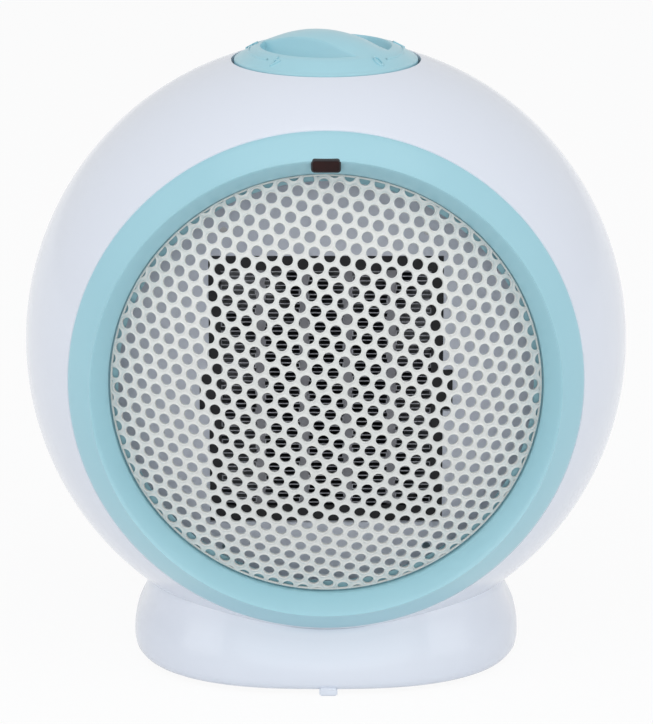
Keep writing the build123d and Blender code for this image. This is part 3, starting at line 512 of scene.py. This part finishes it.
def ring_profile():
    """Profile of (radius, y) from the lip, over the crest, down the slope and round the back."""
    points = [(RING_OUTER - 2.0 * MM, LIP_Y + 2.5 * MM), (RING_OUTER - 0.55 * MM, LIP_Y + 0.12 * MM)]
    points += [(RING_OUTER - 0.42 * MM, LIP_Y - 0.25 * MM)]
    for k in range(11):
        radius = RING_OUTER - 0.7 * MM + (CREST_RADIUS + 0.6 * MM - RING_OUTER + 0.7 * MM) * k / 10
        points.append((radius, -math.sqrt(HEAD_RADIUS**2 - radius**2) + 0.05 * MM))
    points += [(CREST_RADIUS + 0.1 * MM, crest_y + 0.02 * MM), (CREST_RADIUS - 0.4 * MM, crest_y + 0.3 * MM)]
    for k in range(1, 9):
        share = k / 9
        bow = 0.35 * MM * math.sin(math.pi * share)
        radius = CREST_RADIUS - 0.4 * MM + (INNER_RADIUS + 0.9 * MM - CREST_RADIUS) * share
        points.append((radius - bow * 0.7, crest_y + 0.3 * MM + (SLOPE_DROP - 0.9 * MM) * share + bow * 0.3))
    points += [(INNER_RADIUS + 0.15 * MM, slope_y - 0.25 * MM), (INNER_RADIUS, slope_y + 0.2 * MM)]
    points += [(INNER_RADIUS, slope_y + 3.5 * MM), (INNER_RADIUS - 3.5 * MM, slope_y + 3.5 * MM)]
    points += [(INNER_RADIUS - 3.5 * MM, slope_y + 5.0 * MM), (RING_OUTER - 6.0 * MM, slope_y + 5.0 * MM)]
    return points


piece("front_ring_face", grid_mesh("front_ring_face", turned_rows(ring_profile(), 288)),
      aqua, ["front_ring"])

# %% [markdown]
# The grille is a steel sheet, punched in a close hexagonal pattern and then pressed into a shallow dome.
# Each hole has a rolled rim that catches the light, so one cell holds the hole, its rim and six sides.
# Geometry Nodes set a cell on every point of the pattern, and the same tree bends the flat sheet
# to the dome.

# %% One punched cell
HOLE_PITCH = 5.9 * MM
HOLE_RADIUS = 2.08 * MM
SHEET = 0.8 * MM
CELL_SIDES = 18


def hexagon_reach(turn):
    """Distance from a cell's middle to its side."""
    half = HOLE_PITCH / 2
    folded = (turn % (math.pi / 3)) - math.pi / 6
    return half / math.cos(folded)


def cell_mesh():
    """One cell of the sheet in the XZ plane, its face towards -Y."""
    rings = [(None, 0.0), (HOLE_RADIUS + 0.52 * MM, 0.02 * MM), (HOLE_RADIUS + 0.30 * MM, 0.26 * MM),
             (HOLE_RADIUS + 0.10 * MM, 0.22 * MM), (HOLE_RADIUS, -0.05 * MM),
             (HOLE_RADIUS + 0.02 * MM, -SHEET)]
    rows = []
    for radius, lift in rings:
        row = []
        for k in range(CELL_SIDES):
            turn = 2 * math.pi * (k + 0.5) / CELL_SIDES
            reach = hexagon_reach(turn + math.pi / 6) if radius is None else radius
            row.append((reach * math.cos(turn), -lift, reach * math.sin(turn)))
        rows.append(row)
    return grid_mesh("punched_cell", rows)


# %% Sheet of cells bent to the dome
GRILLE_RADIUS = (grille_high[0] - grille_low[0]) / 2 - 0.3 * MM
GRILLE_RISE = 20.2 * MM
DOME_RADIUS = (GRILLE_RADIUS**2 + GRILLE_RISE**2) / (2 * GRILLE_RISE)
GRILLE_TURN = math.radians(-14.5)
GRILLE_APEX = grille_low[1] + 0.35 * MM


def cell_places(reach):
    """Points of the hexagonal pattern within a reach of the middle."""
    count = int(reach / HOLE_PITCH) + 2
    places = []
    for i in range(-2 * count, 2 * count + 1):
        for j in range(-2 * count, 2 * count + 1):
            x = HOLE_PITCH * (i + 0.5 * j)
            z = HOLE_PITCH * j * math.sqrt(3) / 2
            if math.hypot(x, z) < reach:
                places.append((x, 0.0, z))
    return places


def points_source(name, places):
    """Object that holds loose points for a tree."""
    mesh = bpy.data.meshes.new(name)
    mesh.from_pydata(places, [], [])
    return hidden_source(name, mesh)


def dome_tree(sizes, points, cell, material):
    """Tree that sets cells on points, turns the sheet, trims it to a circle and bends it to a dome."""
    tree = new_tree("domed_sheet", sizes)
    into = tree.nodes.new("NodeGroupInput")
    out = tree.nodes.new("NodeGroupOutput")
    spread = tree.nodes.new("GeometryNodeInstanceOnPoints")
    tree.links.new(object_node(tree, points), spread.inputs["Points"])
    tree.links.new(object_node(tree, cell), spread.inputs["Instance"])
    real = tree.nodes.new("GeometryNodeRealizeInstances")
    tree.links.new(spread.outputs["Instances"], real.inputs["Geometry"])
    weld = tree.nodes.new("GeometryNodeMergeByDistance")
    weld.inputs["Distance"].default_value = 0.02 * MM
    tree.links.new(real.outputs["Geometry"], weld.inputs["Geometry"])
    place = tree.nodes.new("GeometryNodeInputPosition")
    spin = tree.nodes.new("ShaderNodeVectorRotate")
    spin.rotation_type = "AXIS_ANGLE"
    spin.inputs["Axis"].default_value = (0.0, -1.0, 0.0)
    tree.links.new(into.outputs["Turn"], spin.inputs["Angle"])
    tree.links.new(place.outputs[0], spin.inputs["Vector"])
    split = tree.nodes.new("ShaderNodeSeparateXYZ")
    tree.links.new(spin.outputs[0], split.inputs[0])
    x, y, z = split.outputs
    squares = math_node(tree, "ADD", math_node(tree, "MULTIPLY", x, x), math_node(tree, "MULTIPLY", z, z))
    away = math_node(tree, "SQRT", squares)
    away = math_node(tree, "MAXIMUM", away, 1e-9)
    kept = math_node(tree, "MINIMUM", away, into.outputs["Rim along the sheet"])
    angle = math_node(tree, "DIVIDE", kept, into.outputs["Dome radius"])
    shell = math_node(tree, "SUBTRACT", into.outputs["Dome radius"], y)
    reach = math_node(tree, "MULTIPLY", shell, math_node(tree, "SINE", angle))
    side = math_node(tree, "DIVIDE", reach, away)
    depth = math_node(tree, "MULTIPLY", shell, math_node(tree, "COSINE", angle))
    middle = math_node(tree, "ADD", into.outputs["Apex"], into.outputs["Dome radius"])
    bent = tree.nodes.new("ShaderNodeCombineXYZ")
    tree.links.new(math_node(tree, "MULTIPLY", x, side), bent.inputs["X"])
    tree.links.new(math_node(tree, "SUBTRACT", middle, depth), bent.inputs["Y"])
    lifted = math_node(tree, "ADD", math_node(tree, "MULTIPLY", z, side), into.outputs["Centre height"])
    tree.links.new(lifted, bent.inputs["Z"])
    bend = tree.nodes.new("GeometryNodeSetPosition")
    tree.links.new(weld.outputs["Geometry"], bend.inputs["Geometry"])
    tree.links.new(bent.outputs[0], bend.inputs["Position"])
    paint = tree.nodes.new("GeometryNodeSetMaterial")
    paint.inputs["Material"].default_value = material
    tree.links.new(bend.outputs["Geometry"], paint.inputs["Geometry"])
    tree.links.new(paint.outputs["Geometry"], out.inputs["Geometry"])
    return tree


rim_along = DOME_RADIUS * math.asin(GRILLE_RADIUS / DOME_RADIUS)
DOME_SIZES = {"Turn": GRILLE_TURN, "Rim along the sheet": rim_along, "Dome radius": DOME_RADIUS,
              "Apex": GRILLE_APEX, "Centre height": HEAD_Z}
cell_source = hidden_source("cell_source", cell_mesh())
sheet_points = points_source("sheet_points", cell_places(rim_along + HOLE_RADIUS + 0.4 * MM))
sheet = grow_mesh("punched_grille", dome_tree(DOME_SIZES, sheet_points, cell_source, enamel), DOME_SIZES)


def drop_slivers(mesh, smallest):
    """Removes the faces that the trim at the rim has flattened to nothing."""
    bm = bmesh.new()
    bm.from_mesh(mesh)
    flat = [face for face in bm.faces if face.calc_area() < smallest]
    bmesh.ops.delete(bm, geom=flat, context="FACES")
    bmesh.ops.remove_doubles(bm, verts=bm.verts, dist=SAME_PLACE)
    bm.to_mesh(mesh)
    bm.free()


SMALLEST_FACE = 1e-9
drop_slivers(sheet, SMALLEST_FACE)
piece("punched_grille", sheet, enamel, ["front_grille"], sharp=60.0)

# %% Cut edge of the sheet
rim_angle = math.asin(GRILLE_RADIUS / DOME_RADIUS)
rim_y = GRILLE_APEX + DOME_RADIUS * (1 - math.cos(rim_angle))
rim_profile = arc_points((GRILLE_RADIUS, rim_y + 0.3 * MM), 0.42 * MM, 0, 360, 10)[:-1]
rim_rows = turned_rows(rim_profile, 220)
rim_rows.append(rim_rows[0])
rim_mesh = grid_mesh("grille_rim", rim_rows)
tidy_mesh(rim_mesh)
piece("grille_rim", rim_mesh, enamel)

# %% [markdown]
# The knob is a dome with two finger hollows, and what is left between them is the grip ridge.
# Its height at any point follows a rule, so the top is one round grid whose height is worked out.
# Each hollow falls from the ridge and from its outer lip along a rounded edge to a flat floor.

# %% Height of the knob
KNOB_RADIUS = 34.7 * MM
KNOB_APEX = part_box("control_knob")[1][2] - 0.1 * MM
KNOB_DOME = 61.6 * MM
RIDGE_TURN = math.radians(-42.0)
RIDGE_HALF = 8.4 * MM
RIDGE_CROWN = 1.2 * MM
HOLLOW_RADIUS = 24.9 * MM
HOLLOW_FLOOR = KNOB_APEX - 11.0 * MM
RIDGE_WALL = 5.0 * MM
OUTER_WALL = 3.2 * MM
SCOOP_ROUND = 0.7 * MM
KNOB_EDGE = 0.9 * MM
KNOB_WALL = 2.4 * MM
KNOB_SEGMENTS = 400
HOLLOW_STEPS = 90
LIP_STEPS = 16
EDGE_STEPS = 5


def dome_height(radius):
    """Height of the plain dome."""
    return KNOB_APEX - KNOB_DOME + math.sqrt(KNOB_DOME**2 - radius**2)


def fall(distance, reach):
    """Share of the way down at a distance from an edge, rounded at the edge and flat at the floor."""
    if distance <= 0:
        return 0.0
    share = min(1.0, distance / reach)
    eased = min(1.0, distance / SCOOP_ROUND)
    return math.sin(share * math.pi / 2) ** 0.8 * eased * (2 - eased) * min(1.0, 0.4 + 0.6 * eased)


def knob_height(x, y):
    """Height of the knob's top over a point of its plan."""
    radius = math.hypot(x, y)
    across = abs(-x * math.sin(RIDGE_TURN) + y * math.cos(RIDGE_TURN))
    edge = max(0.0, min(1.0, (HOLLOW_RADIUS + 2.0 * MM - radius) / (6.0 * MM)))
    crown = RIDGE_CROWN * min(1.0, (across / RIDGE_HALF) ** 2) * edge
    base = dome_height(radius) - crown
    share = min(fall(across - RIDGE_HALF, RIDGE_WALL), fall(HOLLOW_RADIUS - radius, OUTER_WALL))
    return base + (HOLLOW_FLOOR - base) * share


# %% Knob
def knob_mesh():
    """Knob from the middle of its top to the foot of its skirt."""
    radii = [HOLLOW_RADIUS * k / HOLLOW_STEPS for k in range(1, HOLLOW_STEPS + 1)]
    lip = KNOB_RADIUS - KNOB_EDGE - HOLLOW_RADIUS
    radii += [HOLLOW_RADIUS + lip * k / LIP_STEPS for k in range(1, LIP_STEPS + 1)]
    turns = [2 * math.pi * k / KNOB_SEGMENTS for k in range(KNOB_SEGMENTS)]
    rows = [[(0.05 * MM * math.cos(t), 0.05 * MM * math.sin(t), knob_height(0, 0)) for t in turns]]
    for radius in radii:
        places = [(radius * math.cos(t), radius * math.sin(t)) for t in turns]
        rows.append([(x, y, knob_height(x, y)) for x, y in places])
    edge_z = dome_height(KNOB_RADIUS - KNOB_EDGE)
    for k in range(1, EDGE_STEPS + 1):
        turn = math.pi / 2 * k / EDGE_STEPS
        radius = KNOB_RADIUS - KNOB_EDGE + KNOB_EDGE * math.sin(turn)
        rows.append([(radius * math.cos(t), radius * math.sin(t), edge_z - KNOB_EDGE * (1 - math.cos(turn)))
                     for t in turns])
    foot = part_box("control_knob")[0][2] + 1.0 * MM
    rows.append([(KNOB_RADIUS * math.cos(t), KNOB_RADIUS * math.sin(t), foot) for t in turns])
    inner = KNOB_RADIUS - KNOB_WALL
    rows.append([(inner * math.cos(t), inner * math.sin(t), foot) for t in turns])
    mesh = grid_mesh("knob_cap", rows, cap_start=True)
    tidy_mesh(mesh)
    return mesh


piece("knob_cap", knob_mesh(), aqua, ["control_knob"], body="dial", sharp=50.0)

# %% [markdown]
# A scale runs round the knob from 0 upwards, lifted a hair above the dome.
# The plain numerals and the arcs that link them have the knob's own colour, so only their edges show.
# Each numeral is text made into a mesh, laid flat, turned outwards and then dropped onto the dome.

# %% Scale on the knob
SCALE_RADIUS = 29.4 * MM
SCALE_START = -49.0
SCALE_STEP = 70.0
NUMERAL_HEIGHT = 5.0 * MM
MARK_LIFT = 0.32 * MM
MARK_COUNT = 5
ARC_GAP = 9
ARC_STEPS = 40


def drop_on_dome(mesh, lift):
    """Moves a flat mark's points onto the dome, keeping its own thickness."""
    for vertex in mesh.vertices:
        radius = math.hypot(vertex.co.x, vertex.co.y)
        vertex.co.z += dome_height(radius) + lift


def numeral(text, turn):
    """Numeral at an angle round the knob, its top outwards."""
    curve = bpy.data.curves.new("numeral_" + text, "FONT")
    curve.body = text
    curve.size = NUMERAL_HEIGHT * 1.4
    curve.align_x = "CENTER"
    curve.align_y = "CENTER"
    curve.extrude = 0.28 * MM
    curve.bevel_depth = 0.06 * MM
    curve.offset = -0.12 * MM
    holder = bpy.data.objects.new("numeral_" + text, curve)
    bpy.context.scene.collection.objects.link(holder)
    graph = bpy.context.evaluated_depsgraph_get()
    mesh = bpy.data.meshes.new_from_object(holder.evaluated_get(graph))
    bpy.data.objects.remove(holder)
    angle = math.radians(turn)
    mesh.transform(Matrix.Rotation(angle - math.pi / 2, 4, "Z"))
    mesh.transform(Matrix.Translation((SCALE_RADIUS * math.cos(angle), SCALE_RADIUS * math.sin(angle), 0)))
    drop_on_dome(mesh, MARK_LIFT)
    return mesh


def scale_arc(name, start, end):
    """Thin raised line round the knob between two angles."""
    rows = []
    for dr, dz in [(-0.4, -0.1), (-0.28, 0.42), (0.28, 0.42), (0.4, -0.1)]:
        row = []
        for k in range(ARC_STEPS + 1):
            angle = math.radians(start + (end - start) * k / ARC_STEPS)
            radius = SCALE_RADIUS + dr * MM
            row.append((radius * math.cos(angle), radius * math.sin(angle), dome_height(radius) + dz * MM))
        rows.append(row)
    mesh = grid_mesh(name, rows, loop=False)
    tidy_mesh(mesh)
    return mesh


for index in range(MARK_COUNT):
    turn = SCALE_START + SCALE_STEP * index
    piece(f"scale_mark_{index}", numeral(str(index), turn), aqua, body="dial", sharp=50.0)
    if index < MARK_COUNT - 1:
        arc = scale_arc(f"scale_arc_{index}", turn + ARC_GAP, turn + SCALE_STEP - ARC_GAP)
        piece(f"scale_arc_{index}", arc, aqua, body="dial", sharp=50.0)

# %% [markdown]
# A dark red window near the top of the ring shows when the heater is on.
# Its face looks forward, so its lower edge stands proud of the ring's slope.
# It is a rounded rectangle swept up in a few rings, in a slightly larger black surround.

# %% Indicator window
LENS_WIDTH = 10.5 * MM
LENS_HEIGHT = 5.0 * MM
LENS_TILT = math.radians(15.0)
LENS_DROP = -0.3 * MM
LENS_DEPTH = 7.0 * MM
LENS_PLAY = 0.8 * MM
SURROUND_EXTRA = 0.3 * MM
lens_up = Vector((0, -math.sin(LENS_TILT), math.cos(LENS_TILT)))
lens_out = Vector((0, -math.cos(LENS_TILT), -math.sin(LENS_TILT)))
lens_middle = Vector((0, crest_y, HEAD_Z + CREST_RADIUS - LENS_DROP)) - lens_up * (LENS_HEIGHT / 2)


def pill_rows(width, height, corner, rings):
    """Rings of a rounded rectangle on the lens plane, each ring an (inset, lift)."""
    rows = []
    for inset, lift in rings:
        row = []
        for quarter in range(4):
            cx = (width / 2 - corner) * (1 if quarter in (0, 3) else -1)
            cy = (height / 2 - corner) * (1 if quarter in (0, 1) else -1)
            for k in range(7):
                turn = math.pi / 2 * (quarter + k / 6)
                x = cx + (corner - inset) * math.cos(turn)
                rise = cy + (corner - inset) * math.sin(turn)
                row.append(tuple(lens_middle + Vector((x, 0, 0)) + lens_up * rise + lens_out * lift))
        rows.append(row)
    return rows


def pill_piece(name, width, height, corner, rings, material, nodes=()):
    """Closed rounded block through rings on the lens plane."""
    mesh = grid_mesh(name, pill_rows(width, height, corner, rings), cap_start=True, cap_end=True)
    tidy_mesh(mesh)
    return piece(name, mesh, material, nodes)


lens_rings = [(0.0, -LENS_DEPTH), (0.0, 0.20 * MM), (0.12 * MM, 0.36 * MM), (0.4 * MM, 0.42 * MM)]
surround_rings = [(0.0, -LENS_DEPTH), (0.0, -0.1 * MM), (0.2 * MM, 0.12 * MM), (0.6 * MM, 0.12 * MM)]
pill_piece("lens_window", LENS_WIDTH - LENS_PLAY, LENS_HEIGHT - LENS_PLAY, 0.9 * MM, lens_rings,
           lens_red, ["indicator_lens"])
pill_piece("lens_surround", LENS_WIDTH + SURROUND_EXTRA, LENS_HEIGHT + SURROUND_EXTRA, 1.3 * MM,
           surround_rings, black)

# %% [markdown]
# The stand is a low drum with a squared oval plan. Its skirt is upright, a hollow curve draws it in,
# and a collar closes on the ball. At the front the collar follows the ring's edge instead.
# A grid with one column for each direction and one row for each height follows that rule all round.

# %% Shape of the stand
stand_low, stand_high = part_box("stand_shell")
HALF_WIDTH = (stand_high[0] - stand_low[0]) / 2
HALF_DEPTH = (stand_high[1] - stand_low[1]) / 2
PLAN_POWER = 2.62
EDGE_Z = stand_low[2]
COLLAR_Z = HEAD_Z - 95.4 * MM
COLLAR_RISE = 0.19
COLLAR_DRAW = 6.0 * MM
COLLAR_STEP = 1.4 * MM
INNER_DRAW = 13.0 * MM
INNER_LIMIT = 52.0 * MM
FRONT_REACH = 58.0 * MM
SIDE_REACH = 40 * MM
RING_PLAY = 0.4 * MM
STAND_SEGMENTS = 288


def plan_reach(turn):
    """Distance from the middle to the plan's edge in one direction."""
    c = abs(math.cos(turn)) / HALF_WIDTH
    s = abs(math.sin(turn)) / HALF_DEPTH
    return (c**PLAN_POWER + s**PLAN_POWER) ** (-1 / PLAN_POWER)


def collar_height(y):
    """Height of the collar's top at a depth of the plan, which rises towards the front."""
    return COLLAR_Z + COLLAR_RISE * max(0.0, -y)


def ring_height(x):
    """Height of the ring's lower edge beside its middle."""
    return HEAD_Z - math.sqrt(max(0.0, RING_OUTER**2 - x**2))


# Each row holds the share of the way up to the collar and the draw-in there in millimetres.
WALL_CURVE = [(0.0, 2.4), (0.02, 1.2), (0.06, 0.35), (0.12, 0.05), (0.22, 0.0), (0.32, 0.15), (0.42, 0.7),
              (0.52, 1.7), (0.62, 2.9), (0.72, 3.9), (0.82, 4.6), (0.90, 5.0), (0.96, 5.4), (1.0, 6.0)]


def stand_column(turn):
    """Points up the wall in one direction, then over the collar and in to the ball."""
    reach = plan_reach(turn)
    c, s = math.cos(turn), math.sin(turn)
    x_top, y_top = (reach - COLLAR_DRAW) * c, (reach - COLLAR_DRAW) * s
    top = collar_height(y_top)
    under_ring = s < 0 and ring_height(x_top) < top and y_top < -SIDE_REACH
    if y_top < -FRONT_REACH or under_ring:
        top = min(top, ring_height(x_top) - RING_PLAY)
    top = min(top, stand_high[2])
    column = []
    for share, draw in WALL_CURVE:
        column.append(((reach - draw * MM) * c, (reach - draw * MM) * s, EDGE_Z + (top - EDGE_Z) * share))
    for step in range(1, 5):
        radius = reach - COLLAR_DRAW - step * COLLAR_STEP
        height = top + 0.12 * MM * (4 - step) - 0.12 * MM * 4 + (0.4 * MM if step == 1 else 0.0)
        column.append((radius * c, radius * s, min(top + 0.1 * MM, height + 0.2 * MM)))
    inner = min(reach - INNER_DRAW, INNER_LIMIT)
    column.append((inner * c, inner * s, top - 4.0 * MM))
    return column


def stand_mesh():
    """Stand wall as a grid of columns."""
    columns = [stand_column(2 * math.pi * k / STAND_SEGMENTS) for k in range(STAND_SEGMENTS)]
    rows = [list(row) for row in zip(*columns)]
    mesh = grid_mesh("stand_wall", rows)
    tidy_mesh(mesh)
    return mesh


piece("stand_wall", stand_mesh(), stand_white, ["stand_shell"], sharp=40.0)

# %% Feet
FOOT_SIZE = (6.8 * MM, 6.0 * MM, 3.0 * MM)
FOOT_PLACES = [(0.9 * MM, -67.8 * MM), (45.0 * MM, 46.0 * MM), (-45.0 * MM, 46.0 * MM)]


def feet_mesh():
    """Three small feet with rounded edges."""
    mesh = bpy.data.meshes.new("foot_nibs")
    bm = bmesh.new()
    for x, y in FOOT_PLACES:
        single = bar_mesh("foot_nib", FOOT_SIZE, BAR_ROUND, 3)
        single.transform(Matrix.Translation((x, y, FOOT_SIZE[2] / 2)))
        bm.from_mesh(single)
    bm.to_mesh(mesh)
    bm.free()
    return mesh


piece("foot_nibs", feet_mesh(), stand_white, ["feet"])

# %% [markdown]
# The object was photographed on seamless white, so the floor is a pale sheet under soft lamps.
# The camera and mirror rays see a brighter floor, which keeps a soft shadow but loses the grey.
# Large lamps near the camera's side and above give the ball its broad, soft reflections.

# %% Floor and world
def seen_directly(tree, rays):
    """One for rays from the camera and for reflected and refracted ones, else zero."""
    mirror = math_node(tree, "MAXIMUM", rays.outputs["Is Glossy Ray"], rays.outputs["Is Transmission Ray"])
    return math_node(tree, "MAXIMUM", rays.outputs["Is Camera Ray"], mirror)


def stage_material(name, colour, strength):
    """Pale surface that looks nearly white to the camera and keeps a soft shadow."""
    material = bpy.data.materials.new(name)
    material.use_nodes = True
    tree = material.node_tree
    tree.nodes.clear()
    out = tree.nodes.new("ShaderNodeOutputMaterial")
    matt = tree.nodes.new("ShaderNodeBsdfDiffuse")
    matt.inputs["Color"].default_value = (*colour, 1.0)
    glow = tree.nodes.new("ShaderNodeEmission")
    glow.inputs["Strength"].default_value = 1.0
    rays = tree.nodes.new("ShaderNodeLightPath")
    mix = tree.nodes.new("ShaderNodeMixShader")
    tree.links.new(math_node(tree, "MULTIPLY", seen_directly(tree, rays), strength), mix.inputs["Fac"])
    tree.links.new(matt.outputs[0], mix.inputs[1])
    tree.links.new(glow.outputs[0], mix.inputs[2])
    tree.links.new(mix.outputs[0], out.inputs["Surface"])
    return material


FLOOR_REACH = 12.0
FLOOR_GLOW = 0.93


def add_floor():
    """Wide flat floor under the heater."""
    mesh = bpy.data.meshes.new("studio_floor")
    far = FLOOR_REACH
    mesh.from_pydata([(-far, -far, 0), (far, -far, 0), (far, far, 0), (-far, far, 0)], [], [(0, 1, 2, 3)])
    floor = bpy.data.objects.new("studio_floor", mesh)
    bpy.context.scene.collection.objects.link(floor)
    mesh.materials.append(stage_material("studio_white", (0.86, 0.86, 0.87), FLOOR_GLOW))


def add_world(ambient):
    """Surroundings that darken behind the heater, but are white to the camera and to mirror rays."""
    world = bpy.data.worlds.new("studio")
    world.use_nodes = True
    tree = world.node_tree
    tree.nodes.clear()
    out = tree.nodes.new("ShaderNodeOutputWorld")
    sky = tree.nodes.new("ShaderNodeBackground")
    sky.inputs["Color"].default_value = (0.93, 0.95, 1.0, 1.0)
    coords = tree.nodes.new("ShaderNodeTexCoord")
    split = tree.nodes.new("ShaderNodeSeparateXYZ")
    fade = tree.nodes.new("ShaderNodeMapRange")
    fade.inputs["From Min"].default_value = -0.1
    fade.inputs["From Max"].default_value = 1.0
    fade.inputs["To Min"].default_value = ambient
    fade.inputs["To Max"].default_value = ambient * 0.25
    tree.links.new(coords.outputs["Generated"], split.inputs[0])
    tree.links.new(split.outputs["Y"], fade.inputs["Value"])
    tree.links.new(fade.outputs["Result"], sky.inputs["Strength"])
    white = tree.nodes.new("ShaderNodeBackground")
    white.inputs["Strength"].default_value = 1.0
    rays = tree.nodes.new("ShaderNodeLightPath")
    mix = tree.nodes.new("ShaderNodeMixShader")
    tree.links.new(seen_directly(tree, rays), mix.inputs["Fac"])
    tree.links.new(sky.outputs[0], mix.inputs[1])
    tree.links.new(white.outputs[0], mix.inputs[2])
    tree.links.new(mix.outputs[0], out.inputs["Surface"])
    bpy.context.scene.world = world


add_floor()
add_world(0.58)

# %% Lamps
def add_lamp(name, place, aim, size, power, colour=(1.0, 1.0, 1.0)):
    """Rectangular soft lamp that faces a point."""
    data = bpy.data.lights.new(name, "AREA")
    data.shape = "RECTANGLE"
    data.size, data.size_y = size
    data.energy = power
    data.color = colour
    lamp = bpy.data.objects.new(name, data)
    bpy.context.scene.collection.objects.link(lamp)
    lamp.location = place
    direction = Vector(aim) - Vector(place)
    lamp.rotation_euler = direction.to_track_quat("-Z", "Y").to_euler()
    return lamp


BALL = (0.0, 0.0, HEAD_Z)
add_lamp("top_soft", (0.0, -0.35, 1.5), BALL, (1.8, 1.2), 4.6)
add_lamp("left_soft", (-1.5, -0.9, 0.8), BALL, (1.3, 1.5), 7.6)
add_lamp("right_soft", (1.5, -0.9, 0.8), BALL, (1.3, 1.5), 7.6)
add_lamp("front_fill", (0.0, -2.2, 0.9), BALL, (2.2, 1.2), 7.0)
bpy.context.scene.view_settings.view_transform = "Standard"
